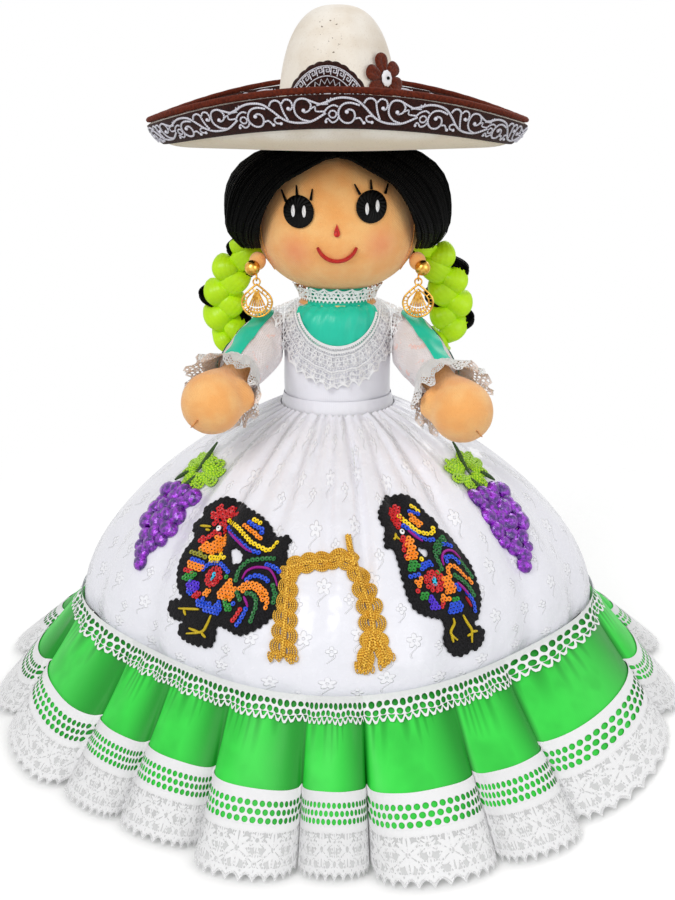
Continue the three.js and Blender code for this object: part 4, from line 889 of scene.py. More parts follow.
trunk_profile = [(0.01, 159), (20.5, 159), (25.6, 165.5), (27.9, 176)]
trunk_profile += [trunk_line(1 - i / 10) for i in range(11)] + [(20.5, 248), (0.01, 248)]
stuffed("stuffed_trunk", turned(trunk_profile, 48, lambda p, a: (p[0] * 0.98, p[1] * 0.93, p[2])), skin_cloth,
        "trunk", ["torso"], voxel=4.5, cap=0.4)

leg_profile = [(0.01, 8.3), (6, 9.2), (7.5, 19), (8.55, 60), (9.5, 108), (9, 135), (8.5, 150.2), (6, 156.2),
               (0.01, 158.7)]
polished = Finish("black shoe leather", "shoe_leather", Specular_IOR_Level=0.5)
creases = polished.noise(0.004, 4)
polished.set(Base_Color=polished.mix(creases, ink("#0c0c0d"), ink("#1d1c1d")), Roughness=0.3 + 0.25 * creases)
polished.bump(creases, 0.0004)
for side_name, side in SIDES:
    leg = turned(leg_profile, 32, lambda p, a: (p[0] + side * 12, p[1], p[2]))
    body = "leg_" + side_name
    stuffed("stuffed_" + body, leg, skin_cloth, body, [body], voxel=3.5, cap=0.4)
    shoe = egg(32, 20, (11 * MM, 18 * MM, 15 * MM))
    cut_off(shoe, (0, 0, 0), (0, 0, -1))
    edges = bmesh.ops.extrude_edge_only(shoe, edges=[e for e in shoe.edges if e.is_boundary])["geom"]
    sole = [part for part in edges if isinstance(part, bmesh.types.BMVert)]
    bmesh.ops.scale(shoe, vec=(1.03, 1.03, 1), verts=sole)
    bmesh.ops.translate(shoe, vec=(0, 0, -0.05 * MM), verts=sole)
    fill_holes(shoe)
    bmesh.ops.translate(shoe, vec=(side * 0.012, -0.006, 0.0041), verts=shoe.verts)
    piece_of("shoe_of_" + body, shoe, polished, body, stands_for=["shoe_" + side_name])
print("trunk and legs are stuffed")

# %% [markdown]
# ## Bodice, yoke and its laces
# The bodice is a lined satin tube, darted to the trunk. A teal yoke is let in below the neck, a gathered lace
# runs round the yoke's edge and falls over the chest, and a narrower one stands round the neck.
# Each is a grid on the trunk's own surface with a little lift of its own.

# %% Bodice and waistband
def bodice_place(u, v):
    angle, s = round_angle(u), 1.02 - v
    pull = 0.35 * math.sin(3 * angle + 9 * s) + 0.3 * math.sin(7 * angle - 14 * s)
    return trunk_point(angle, s, 1.6 + pull * min(1, s))


bodice = piece_of("bodice_satin", grid(120, 48, bodice_place, (0.19, 0.068), closed=True), plain_white, "trunk",
                  stands_for=["bodice"])


def waistband_place(u, v):
    angle = round_angle(u)
    dip = 0.75 * math.cos(angle) - 0.6
    r = 33.2 - 2.6 * v ** 0.8 - 0.5 * gathers(angle) * (1 - v)
    return around(r, angle, 181.6 + dip + 9.0 * v, 0.97) * MM


waistband = piece_of("waistband_satin", grid(160, 8, waistband_place, (0.2, 0.012), closed=True), plain_white,
                     "trunk", stands_for=["waistband"])


def place_at_height(height):
    """How far down the trunk's line a height lies."""
    low, high = 0.0, 1.0
    for _ in range(30):
        middle = (low + high) / 2
        low, high = (middle, high) if trunk_line(middle)[1] > height else (low, middle)
    return low


def yoke_place(u, v):
    angle = math.radians(53) * (2 * u - 1)
    lowest = 221.5 + 17 * abs(2 * u - 1) ** 3.2
    neck = 0.84
    down, rise = max(0, (neck - v) / neck), max(0, (v - neck) / (1 - neck))
    wrinkle = 0.3 * math.sin(12 * angle + 5 * v) + 0.25 * math.sin(31 * angle - 9 * v)
    point = trunk_point(angle, place_at_height(lowest) * down, 2.6 + wrinkle + 1.2 * rise)
    point.z += 9 * rise * MM
    return point


yoke = piece_of("yoke_satin", grid(48, 24, yoke_place, (0.062, 0.034)), teal_satin, "trunk", stands_for=["yoke"])


def bib_place(u, v):
    """The lace round the yoke: u from the left shoulder round to the right, v from its edge up to the yoke."""
    turn = math.radians(96) * (2 * u - 1)
    out = 1 - v
    inner = Vector((21.5 * math.sin(turn), 244 - 21.5 * math.cos(turn)))
    outer = Vector((36.5 * math.sin(turn), 236.5 - 38.5 * math.cos(turn)))
    x, z = inner + (outer - inner) * out
    radius = trunk_line(place_at_height(min(239.9, z)))[0] + 3.2
    front = 0.95 * math.sqrt(max(radius * radius - x * x, 13 ** 2))
    wave = 2.1 * out * math.sin(u * 74 + 1.5 * math.sin(u * 11)) + 1.6 * out
    return Vector((x, -front - wave, z + 0.8 * out * math.sin(u * 37))) * MM


bib = piece_of("bib_lace_ruffle", grid(220, 20, bib_place, (0.17, 0.023)), bib_lace, "trunk",
               stands_for=["bib_lace"])


def neck_lace_place(u, v):
    angle, up = round_angle(u), 1 - v
    r = 21.6 + 3.6 * up * up + 0.7 * up * math.sin(26 * angle)
    return around(r, angle, 244.2 + 8.6 * up, 0.95) * MM


neck_lace = piece_of("neck_lace_ruffle", grid(200, 12, neck_lace_place, (0.15, 0.0105), closed=True), ruffle_lace,
                     "trunk", stands_for=["collar_lace"])
print("bodice, yoke and laces are on")

# %% [markdown]
# ## Arms and sleeves
# Each arm is a stuffed mitten with a thumb. The sleeve over it is sheer cloth with a faint print, two satin
# ribbons are sewn down it, and a gathered lace cuff opens like a flower behind the hand. All of these are
# built standing up, along the arm's own axis, and are then laid along the direction that the arm points in.

# %% Sheer cloth
sheer = Finish("sheer printed cloth", "sheer", Roughness=0.6, Specular_IOR_Level=0.3)
sheer_u, sheer_v = sheer.across()
print_noise = sheer.noise(0.005, 2)
dots = print_noise.ramp(0.60, 0.68)
grain = (sheer_u * 4200).sin() * (sheer_v * 4200).sin() * 0.5 + 0.5
sheer.set(Base_Color=sheer.mix(dots * 0.8, ink("#fdf7f9"), ink("#f8cfc6")))
sheer.set(Alpha=0.80 + 0.12 * dots + 0.08 * grain)
sheer.bump(grain * 0.3 + sheer.noise(0.006, 3), 0.0012)


# %% Arms
# outward, forward and up; the left arm is held a little higher
ARM_DIRECTIONS = {-1: (0.387, -0.862, -0.327), 1: (0.387, -0.831, -0.4)}


def arm_direction(side):
    outward, forward, up = ARM_DIRECTIONS[side]
    return Vector((side * outward, forward, up)).normalized()


def shoulder(side):
    return Vector((side * 38, -2, 223))


def arm_frame(side):
    """Turns a point built upright, in mm, into one along the arm, in metres."""
    turn = Vector((0, 0, 1)).rotation_difference(arm_direction(side))
    return lambda p: (shoulder(side) + turn @ Vector(p)) * MM


def swell(z):
    """The palm is a little fuller than the turned shape."""
    return 1 + 0.06 * near(z, 70, 12)


ARM_STATIONS = [(0.01, -9), (8, -6), (11, 2), (10.2, 21.5), (9, 42), (9.6, 50), (13.4, 60), (15.8, 70), (14.6, 79),
                (9.5, 85.5), (0.01, 88)]
SLEEVE_LENGTH, SLEEVE_RADIUS = 43, 13.5
SLEEVE_SEAT, ARM_SEAT = 31.0, 31.2


def sleeve_point(lay, side, angle, z, lift=0.0):
    """A place on the sleeve, or lift mm over it, z mm along the arm; its inner end is flat."""
    if z > 0:
        t = z / SLEEVE_LENGTH
        r = SLEEVE_RADIUS - 1.7 * t * t + 1.3 * math.sin(math.pi * t)
    else:
        r = math.sqrt(max(0, SLEEVE_RADIUS ** 2 - z * z))
    fold = min(0.15, 0.6 * math.sin(5 * angle + 0.22 * z) + 0.45 * math.sin(3 * angle - 0.35 * z))
    placed = lay(around(r + fold * min(1, max(0, (z + 8) / 16)) + lift, angle, z))
    placed.x = side * max(side * placed.x, SLEEVE_SEAT * MM)
    return placed


for side_name, side in SIDES:
    lay = arm_frame(side)
    body = "arm_" + side_name
    profile = [(p.x, p.y) for p in smooth_path([(r, z, 0) for r, z in ARM_STATIONS], 40)]
    profile = [(max(0.01, r), z) for r, z in profile]
    arm = turned(profile, 40)
    for vert in arm.verts:
        x, y, z = vert.co / MM
        vert.co = lay((x * swell(z), y * swell(z), z))
    thumb = egg(20, 14, (6.2, 6.5, 9.5))
    root = shoulder(side) + arm_direction(side) * 62 + Vector((-side * 12, -4, 0))
    bmesh.ops.rotate(thumb, matrix=Matrix.Rotation(side * 0.35, 3, "Y"), verts=thumb.verts)
    bmesh.ops.translate(thumb, vec=root, verts=thumb.verts)
    bmesh.ops.scale(thumb, vec=(MM, MM, MM), verts=thumb.verts)
    merge(arm, thumb)
    cut_off(arm, (side * ARM_SEAT * MM, 0, 0), (-side, 0, 0))
    fill_holes(arm)
    stuffed("stuffed_" + body, arm, skin_cloth, body, [body], voxel=2.6, cap=0.6)

    # the mitten's seam runs round its outer edge
    seam = []
    for i in range(40):
        share = i / 39
        z = 50 + 39.2 * share if share < 1 else 88.6
        r = 0.0
        for (r0, z0), (r1, z1) in zip(profile, profile[1:]):
            if z0 <= z <= z1:
                r = r0 + (r1 - r0) * (z - z0) / max(1e-6, z1 - z0)
        seam.append(lay(around(r * swell(z) + 0.35, side * math.radians(68), min(z, 88.4))))
    thread = tube(bmesh.new(), seam, 0.28 * MM, sides=5)
    piece_of("mitten_seam_" + side_name, thread, seam_thread, body)

    def sleeve_place(u, v):
        way, cap_share = 1 - v, 0.22
        if way < cap_share:
            z = -SLEEVE_RADIUS * math.cos(way / cap_share * math.pi / 2)
        else:
            z = SLEEVE_LENGTH * (way - cap_share) / (1 - cap_share)
        return sleeve_point(lay, side, round_angle(u), z)

    sleeve = piece_of("sleeve_cloth_" + side_name, grid(96, 56, sleeve_place, (0.085, 0.062), closed=True), sheer,
                      body, stands_for=["sleeve_" + side_name])
    "stuffed_arm_" + side_name

    for name, width, middle in (("front", 11, math.pi + 0.35), ("side", 7, math.pi - 0.8)):
        def ribbon_place(u, v):
            return sleeve_point(lay, side, side * middle + (u - 0.5) * width / 14, 42 - 51 * v, 0.65)

        ribbon = piece_of("sleeve_ribbon_%s_%s" % (name, side_name), grid(8, 40, ribbon_place, (width * MM, 0.051)),
                          teal_satin, body, stands_for=["ribbon_%s_%s" % (name, side_name)])
        "sleeve_cloth_" + side_name

    def cuff_place(u, v):
        angle, out = round_angle(u), 1 - v
        wave = math.sin(9 * angle + 0.8 * math.sin(4 * angle))
        r = 12.4 + 10.5 * out ** 1.15 + 1.6 * out * math.sin(18 * angle)
        return lay(around(r, angle, SLEEVE_LENGTH - 4 + 23 * out ** 0.9 + 3.6 * out * wave))

    cuff = piece_of("cuff_lace_ruffle_" + side_name, grid(216, 16, cuff_place, (0.27, 0.0215), closed=True),
                    ruffle_lace, body, stands_for=["cuff_lace_" + side_name])
    "sleeve_cloth_" + side_name
print("arms and sleeves are dressed")

# %% [markdown]
# ## Head and face
# The head is a stuffed ball, a little wider than it is deep. The features are embroidered: satin stitch lies in
# smooth pads with a thread's relief. The white glints on the eyes are painted highlights, made as pads of white
# stitch. Each feature is drawn flat, seen from the front, and laid on the head's own surface, so that it follows the
# ball.

# %% Head
CHEEKS = 284.3
HEAD_RADIUS, HEAD_DEEP = 46, 0.93


def half_height(above):
    """The ball is taller above the cheeks than below them."""
    return 43.5 if above else 36


def head_line(s):
    angle = math.pi / 2 - s * math.pi
    return HEAD_RADIUS * max(0, math.cos(angle)) ** 0.9, CHEEKS + half_height(angle > 0) * math.sin(angle)


head_profile = [head_line(1 - i / 44) for i in range(45)]
head_profile[0] = (0.01, head_profile[0][1])
head_profile[-1] = (0.01, head_profile[-1][1])
stuffed("stuffed_head",
        turned([(r * 0.985, z) for r, z in head_profile], 96, lambda p, a: (p[0], p[1] * HEAD_DEEP, p[2])),
        face_cloth, "head", ["head"], voxel=2.6, cap=0.7)


def on_face(x, z, lift=0.0):
    """The point of the head's front at x and z mm, lift mm off it, in metres."""
    half = half_height(z > CHEEKS)
    level = max(-1, min(1, (z - CHEEKS) / half))
    radius = HEAD_RADIUS * max(0, math.cos(math.asin(level))) ** 0.9
    y = -HEAD_DEEP * math.sqrt(max(1, radius * radius - x * x))
    normal = Vector((x / HEAD_RADIUS ** 2, y / 42.8 ** 2, (z - CHEEKS) / half ** 2)).normalized()
    return (Vector((x, y, z)) + normal * (lift + 0.25)) * MM


def thread_finish(name, slot, dark, light, gleam=0.5):
    """Satin stitch: threads laid side by side."""
    stitch = Finish(name, slot, Specular_IOR_Level=gleam)
    u, v = stitch.across()
    strands = ((u + 0.15 * v) * 2600 * math.pi).sin() * 0.5 + 0.5
    stitch.set(Base_Color=stitch.mix(strands, ink(dark), ink(light)), Roughness=0.32 + 0.25 * strands)
    stitch.bump(strands, 0.0003)
    return stitch


black_thread = thread_finish("black satin stitch", "black_thread", "#000000", "#040404", gleam=0.12)
red_thread = thread_finish("red satin stitch", "red_thread", "#b8100b", "#e22a1c")
# white stitch used only for the eyes' painted highlights
painted_glint_thread = thread_finish("painted glint satin stitch", "lace", "#e2e2e6", "#ffffff")


def pad(name, middle, wide, high, finish, lift, drop=0.0, stands_for=()):
    """A crowned oval of satin stitch on the face; drop draws its top out to a point."""
    def place(u, v):
        turn = round_angle(u)
        x, z = wide * math.sin(turn) * v, -high * math.cos(turn) * v
        if drop:
            x *= 1.5 * (1 - drop * (z / high + 1) / 2)
        crown = 0.55 * math.sqrt(max(0, 1 - v ** 4))
        return on_face(middle[0] + x, middle[1] + z, lift + crown)
    bm = grid(40, 10, place, (2 * wide * MM, high * MM), closed=True)
    bmesh.ops.reverse_faces(bm, faces=bm.faces)
    piece_of(name, bm, finish, "head", stands_for=stands_for)


# each eye's middle, its two painted highlights, white glints made as raised pads of white stitch, and the root and tip
# of each lash
EYES = {
    "left": ((-20.3, 295.8), ((-22.9, 296.0), (-17.2, 296.0)),
             ((-26.8, 300.4, -29.2, 305.8), (-21.0, 303.6, -21.4, 308.6), (-13.8, 301.8, -13.0, 307.2))),
    "right": ((17.7, 298.4), ((15.2, 297.4), (20.6, 298.6)),
              ((11.6, 304.6, 8.8, 309.6), (17.6, 307.0, 17.3, 311.4), (24.9, 304.6, 26.4, 309.0))),
}
for side_name, (middle, painted_glints, lashes) in EYES.items():
    pad("eye_disc_" + side_name, middle, 8.1, 8.3, black_thread, 0.1, stands_for=["eye_" + side_name])
    for number, white in enumerate(painted_glints):
        # painted highlight: each glint is a white pad laid over the black disc
        pad("eye_painted_glint_%s_%d" % (side_name, number), white, 0.95, 3.0, painted_glint_thread, 0.62)
    bm = bmesh.new()
    for x0, z0, x1, z1 in lashes:
        path = [on_face(x0 + (x1 - x0) * i / 8, z0 + (z1 - z0) * i / 8, 0.35) for i in range(9)]
        tube(bm, path, lambda t: 0.8 * MM * (1 - 0.45 * t), sides=6)
    piece_of("eye_lashes_" + side_name, bm, black_thread, "head")

pad("nose_stitch", (-0.3, 286.9), 1.6, 3.5, red_thread, 0.15, drop=0.92, stands_for=["nose"])
smile = []
for i in range(25):
    turn = math.radians(-72 + 144 * i / 24)
    smile.append(on_face(-0.2 + 10.6 * math.sin(turn), 281.2 - 10.6 * math.cos(turn), 0.4))
mouth = tube(bmesh.new(), smile, lambda t: 1.1 * MM * (1 - 0.3 * abs(2 * t - 1) ** 4), sides=8)
piece_of("mouth_stitch", mouth, red_thread, "head", stands_for=["mouth"])

face_seams = bmesh.new()
for side in (-1, 1):
    path = [on_face(side * (41.0 - 0.012 * (z - 286) ** 2), z, 0.1) for z in range(262, 312, 2)]
    tube(face_seams, path, 0.25 * MM, sides=5)
piece_of("face_seams", face_seams, seam_thread, "head")
print("the face is embroidered")

# %% [markdown]
# ## Hair
# The hair is straight black yarn. It lies in two sheets from the parting over the top of the head and is
# tied back behind the ears. A dark cap keeps the head from showing between the strands, and the strands
# are single tubes of yarn that run from the parting to the ends, each a little out of line with the next.

# %% Hair
HAIR_MIDDLE, HAIR_WIDE, HAIR_HIGH = 293.3, 62, 37
FACE_HALF = 43.4
FRINGE = 0.12  # the share of the strands that follows the face's edge
STRANDS, STRAYS = 118, 46
yarn = twisted("black yarn", "yarn", 5200, 900, "#000000", "#050505", rough=(0.4, 0.2), Specular_IOR_Level=0.07)


def on_hair(direction, lift=0.0):
    """Where a direction from the hair's middle meets its surface, in mm."""
    x, y, z = direction
    side = math.hypot(x, y / (0.70 if y < 0 else 0.84)) / (HAIR_WIDE + lift)
    up = abs(z) / (HAIR_HIGH + lift)
    reach = (side ** 2.6 + up ** 2.6) ** (-1 / 2.6)
    return Vector((x * reach, y * reach, HAIR_MIDDLE + z * reach))


cap = egg(64, 40)
for vert in cap.verts:
    vert.co = on_hair(vert.co * 40, -2.4) * MM
cut_off(cap, (0, -0.014, 0.300), (0, -0.86, -0.5))
cut_off(cap, (0, 0, 0.2630), (0, 0, -1))
piece_of("hair_cap", cap, yarn, "head", stands_for=["hair_back"])

dice = random.Random(7)


def hairline(x):
    """The face's edge: two nearly straight lines down from the parting, then round the cheeks."""
    rounded = 274.3 + 49 * math.sqrt(max(0, 1 - (x / FACE_HALF) ** 2))
    return min(rounded, 326 - 0.53 * abs(x))


def strand_path(side, back, depth):
    """One strand: back runs from 0 at the face's edge to 1 behind the head."""
    parting = [(1.2, -33, hairline(1.2) - HAIR_MIDDLE + 1.5), (0.8, -20, 36), (0.8, 0, 37), (0.8, 22, 33),
               (1, 42, 18), (1, 50, -2)]
    root = smooth_path(parting, 60)[min(59, int((back ** 0.75) * 59))]
    tied = math.radians(56 + 124 * back)
    end = Vector((HAIR_WIDE * math.sin(tied), -50 * math.cos(tied), -22 - 9 * back))
    bow = math.radians(24 + 130 * back)
    middle = Vector((58 * math.sin(bow) + 14 * (1 - back), -50 * math.cos(bow), 19 - 10 * back))
    path = []
    for i in range(15):
        t = i / 14
        direction = root * (1 - t) ** 2 + 2 * t * (1 - t) * middle * 1.15 + end * t * t
        point = on_hair(direction, depth)
        if back < FRINGE:
            edge = hairline(point.x) + 0.5
            front = 1 - back / FRINGE
            if point.y < 0 and point.z < edge and abs(point.x) < FACE_HALF:
                point.z += (edge - point.z) * front
        tucked = max(0, (t - 0.75) / 0.25) ** 2
        path.append(Vector((side * point.x * (1 - 0.05 * tucked), point.y + 6 * tucked, point.z)) * MM)
    return path


for side_name, side in SIDES:
    strands = bmesh.new()
    for number in range(STRANDS):
        back = min(1, max(0, (number + dice.uniform(-0.4, 0.4)) / (STRANDS - 1)))
        depth = dice.uniform(-1.5, -0.4)
        tube(strands, strand_path(side, back, depth), lambda t: 0.95 * MM * (1 - 0.35 * t ** 6), sides=5)
    for number in range(STRAYS):
        stray = strand_path(side, dice.uniform(0.1, 1), dice.uniform(-0.2, 0.7))
        tube(strands, stray, 0.24 * MM, sides=4)
    hair = piece_of("hair_strands_" + side_name, strands, yarn, "head", stands_for=["hair_" + side_name])
    print(hair.name, len(hair.data.polygons), "faces")

# %% [markdown]
# ## Plaits
# Each plait hangs from behind the ear. A broad lime ribbon is plaited with the black yarn, and shows as a row of
# leaf-shaped lobes that cross from one edge to the other, each over the end of the one before. The yarn weaves
# between them: it swings from side to side once while it goes forward and back twice.

# %% Plaits
def plait_axis(side, down):
    out = 49 + 16 * math.sin(min(1, down * 1.15) * 2.2)
    return Vector((side * out, 7 + 9 * min(1, down * 1.5), 276 - 64 * down))


def plaited_lock(side, last):
    """The yarn's path through the plait, down to the share last of its length."""
    path = []
    for i in range(70):
        down = last * i / 69
        turn = 2 * math.pi * (2.1 * down + 2 / 3)
        taper = min(1, down * 5 + 0.25) * min(1, (1 - down) * 4 + 0.3)
        swing = Vector((11.6 * taper * math.sin(turn), 2.2 * taper * math.sin(2 * turn), 0))
        path.append((plait_axis(side, down) + swing) * MM)
    return path


LOBES_DOWN, LOCKS = 9, 30
for side_name, side in SIDES:
    ribbons = bmesh.new()
    for k in range(LOBES_DOWN):
        sway = 1 if k % 2 else -1
        first, last = (k - 0.6) / LOBES_DOWN, (k + 1.75) / LOBES_DOWN
        path = []
        for i in range(15):
            t = i / 14
            axis = plait_axis(side, min(1.02, max(0.0, first + (last - first) * t)))
            out = sway * (7.8 - 11.4 * t ** 1.3)
            path.append((axis + Vector((out, 1.5 - 7.4 * math.sin(math.pi * min(1, t * 1.05)), 0))) * MM)
        size = 7.5 * min(1, 0.72 + 0.2 * k, 0.62 + 0.22 * (LOBES_DOWN - 1 - k))

        def leaf(t):
            return MM * size * max(0.12, math.sin(math.pi * min(1, 0.05 + 0.93 * t) ** 0.8) ** 0.7)
        tube(ribbons, path, leaf, sides=18, flat=0.4, facing=lambda t: Vector((0.0, -1.0, 0.0)))
    ribbon = piece_of("plaited_ribbon_" + side_name, ribbons, lime_satin, "head",
                      stands_for=["plait_ribbon_" + side_name])
    locks = bmesh.new()
    for number in range(LOCKS):
        shift = Vector((dice.uniform(-2.6, 2.6), dice.uniform(-2.2, 2.2), dice.uniform(-2.0, 2.0))) * MM
        path = plaited_lock(side, dice.uniform(0.94, 1.0))
        tube(locks, [p + shift for p in path], 0.85 * MM, sides=5)
    piece_of("plaited_yarn_" + side_name, locks, yarn, "head", stands_for=["plait_hair_" + side_name])
print("hair and plaits are done")

# %% [markdown]
# ## Ears and earrings
# A gold ball hides the stitch on each small stuffed ear. The drop is filigree: a doubled wire bent to a tear,
# small rings and rungs between the two wires, and bars that fan down from the top to a row of grains.
# Wire is a tube along a path, and grains are small spheres.

# %% Ears and earrings
gold = Finish("polished gold", "gold", Metallic=1.0)
worn = gold.noise(0.002, 3)
gold.set(Base_Color=gold.mix(worn.ramp(0.3, 0.7), ink("#c98a2e"), ink("#f2c463")), Roughness=0.16 + 0.2 * worn)
gold.bump(worn, 0.00008)
JUMP_RING = 1.9


def ball(bm, middle, radius, segments):
    """A grain of gold, placed and sized in mm."""
    bmesh.ops.create_uvsphere(bm, u_segments=segments, v_segments=max(6, segments // 2 + 2), radius=radius * MM,
                              matrix=Matrix.Translation(middle * MM))


def wire(bm, path, radius, sides, closed=False):
    """Gold wire along a path, all in mm; radius may be a function."""
    thick = (lambda t: radius(t) * MM) if callable(radius) else radius * MM
    tube(bm, [p * MM for p in path], thick, sides=sides, closed=closed)


def hoop(bm, middle, radius, across, thick, count, sides):
    """A small ring of wire that stands upright; across is its level direction."""
    turns = [math.tau * i / count for i in range(count)]
    path = [middle + radius * (math.sin(a) * Vector(across) + Vector((0, 0, math.cos(a)))) for a in turns]
    wire(bm, path, thick, sides, closed=True)


def tear(scale):
    """A tear's outline with its tip at zero, in mm."""
    r, middle = 8.25, -9.75
    left = [(0, 0), (-3.6, -2.9), (-7.1, -6.4)]
    low = [(r * math.cos(math.pi + math.pi * i / 10), middle + r * math.sin(math.pi + math.pi * i / 10))
           for i in range(11)]
    right = [(-x, z) for x, z in reversed(left)]
    centre = Vector((0, 0, -9.5))
    return [centre + (p - centre) * scale for p in smooth_path([(x, 0, z) for x, z in left + low + right], 48)]


for side_name, side in SIDES:
    ear = egg(24, 16, (4.6 * MM, 4.2 * MM, 5.0 * MM))
    bmesh.ops.translate(ear, vec=(side * 0.0437, -0.013, 0.2663), verts=ear.verts)
    ear_piece = piece_of("stuffed_ear_" + side_name, ear, skin_cloth, "head", stands_for=["ear_" + side_name])

    lean = Vector((side * 0.3, -0.92, -0.25)).normalized()
    bead = Vector((side * 43.5, -13, 266)) + lean * 8.8
    bead_mesh = bmesh.new()
    ball(bead_mesh, bead, 4.25, 32)
    hoop(bead_mesh, bead + Vector((-side * 2.2, 0, -5.0)), JUMP_RING, (0, 1, 0), 0.45, 20, 8)
    piece_of("earring_ball_" + side_name, bead_mesh, gold, "head", stands_for=["earring_bead_" + side_name])

    hang = Vector((side * 43.941, -21.1, 258.199))
    drop = bmesh.new()
    hoop(drop, hang - Vector((0, 0, JUMP_RING)), JUMP_RING, (1, 0, 0), 0.45, 20, 8)
    tip = hang + Vector((0, 0, -3.3))
    outer, inner = tear(1.0), tear(0.72)
    for outline, thick in ((outer, 0.55), (inner, 0.42)):
        wire(drop, [tip + p for p in outline[:-1]], thick, 6, closed=True)
    for far, close in list(zip(outer, inner))[2:-3:2]:
        wire(drop, [tip + far, tip + (far + close) / 2, tip + close], 0.34, 5)
    for i in range(-3, 4):
        foot = Vector((1.35 * i, 0, -12.4 + 0.09 * i * i))
        path = [tip + Vector((0.25 * i, 0, -3.8)).lerp(foot, t) for t in (0, 0.25, 0.5, 0.75, 1)]
        wire(drop, path, lambda t: 0.28 + 0.3 * t, 6)
    for i in range(-3, 4):
        ball(drop, tip + Vector((1.5 * i, 0, -13.9 + 0.16 * i * i)), 0.72, 10)
    for i in range(-2, 3):
        hoop(drop, tip + Vector((1.9 * i, 0, -15.6 + 0.2 * i * i)), 0.8, (1, 0, 0), 0.26, 12, 5)
    piece_of("earring_filigree_" + side_name, drop, gold, "earring_" + side_name,
             stands_for=["earring_drop_" + side_name])
print("ears and earrings are hung")

# %% [markdown]
# ## Hat
# A felt hat is one sheet of wool, steamed over a block, so crown and brim are one body with an inside as
# well. Its outline is turned round, and then the brim is bent: its front and back stand higher than its
# sides. The crown has a shallow pinch in front, left by the hand that puts the hat on.

# %% Felt body
HAT_HOLE, HAT_SEAT, FELT = 27, 328.9, 2.6
BRIM_RADIUS, BRIM_RISE, BRIM_TURN_UP = 101, 19.5, 9
SADDLE, SADDLE_START = 9.5, 60
CROWN_RADIUS, CROWN_HEIGHT, CROWN_SHAPE = 32, 71, 2.6
HAT_COLUMNS = 144


def brim_line(s):
    reach = math.sqrt(max(0, s))
    return HAT_HOLE + (BRIM_RADIUS - HAT_HOLE) * reach, HAT_SEAT + BRIM_RISE * reach ** BRIM_TURN_UP


def crown_line(s):
    angle = math.pi / 2 * (1 - s)
    power = 2 / CROWN_SHAPE
    rise = (CROWN_HEIGHT - FELT) * max(0, math.sin(angle)) ** power
    return CROWN_RADIUS * max(0, math.cos(angle)) ** power, HAT_SEAT + FELT + rise


def crown_radius(z):
    share = min(1, max(0, (z - HAT_SEAT - FELT) / (CROWN_HEIGHT - FELT)))
    return CROWN_RADIUS * (1 - share ** CROWN_SHAPE) ** (1 / CROWN_SHAPE)


def pinch(angle, z):
    high = near(z, HAT_SEAT + 52, 16)
    return -0.9 * near(math.degrees(angle), 1, 7) * high + 0.5 * near(math.degrees(angle), 17, 9) * high


def hat_move(point, angle):
    x, y, z = point
    reach = math.hypot(x, y)
    share = max(0, (reach - SADDLE_START) / (BRIM_RADIUS - SADDLE_START))
    if share > 0:
        z += SADDLE * share * share * (y * y - x * x) / reach ** 2
    elif reach > 1:
        wider = 1 + pinch(angle, z) / reach * min(1, reach / 12)
        x, y = x * wider, y * wider
    return x, y, z


def beside(line, places, off):
    """Points of a line at some places, moved square to it."""
    points = []
    for s in places:
        (r, z), (out, up) = line(s), outwards(line, s)
        points.append((max(0.01, r + off * out), z + off * up))
    return points


felt = Finish("cream wool felt", "felt", Roughness=0.95, Sheen_Weight=0.3, Specular_IOR_Level=0.15)
fx, fy, fz = felt.xyz()
fuzz = felt.noise(0.0011, 4)
cloudy = felt.noise(0.016, 3)
specks = felt.noise(0.0014, 1).ramp(0.69, 0.73)
in_front = (fx + 0.013).ramp(0, 0.003) * (0.003 - fx).ramp(0, 0.003) * (fy < 0) * (fz > 0.362) * (fz < 0.393)
# painted shade: felt lower than 338 mm, the brim inside its turned-up rim and the foot of the crown, is tinted a
# darker, warmer cream
painted_shade_under_brim = (0.338 - fz).ramp(0, 0.004)
cream = felt.mix(cloudy.ramp(0.3, 0.75), ink("#f6efe4"), ink("#e8dccb"))
cream = felt.mix(painted_shade_under_brim * 0.75, cream, ink("#eddcc0"))
cream = felt.mix((fuzz - 0.6).ramp(0, 0.15) * 0.35, cream, ink("#c3b196"))
felt.set(Base_Color=felt.mix(specks * (0.08 + 0.85 * in_front), cream, ink("#5a4630")))
felt.bump(fuzz * 0.6 + cloudy * 0.4, 0.0006, 0.7)

places = [i / 40 for i in range(41)]
inside = beside(crown_line, places[1:], -FELT)
under = beside(brim_line, [p * p for p in places], 0)
over = beside(brim_line, [(0.13 + 0.87 * p) ** 2 for p in reversed(places)], FELT)
outside = [(32.6, HAT_SEAT + FELT + 0.5), *beside(crown_line, [1 - p for p in places[1:-1]], 0)]
outside.append((0.01, HAT_SEAT + CROWN_HEIGHT))
hat = turned([(0.01, inside[0][1]), *inside, *under, *over, *outside], HAT_COLUMNS, hat_move)
piece_of("felt_hat", hat, felt, "hat", stands_for=["hat_felt"])
print("hat", 2 * BRIM_RADIUS, "mm wide before its binding")

# %% [markdown]
# ## Binding and brim bands
# A velvet ribbon is folded over the rim. Inside and outside the turned-up brim lies a band of dark felt,
# embroidered in white with a vine that curls back at each scroll. The stitches stand up as cords, so each
# stroke is a thin tube that lies on the felt. One length of the pattern is written in millimetres, along the
# band and up it, and fourteen of them go round.

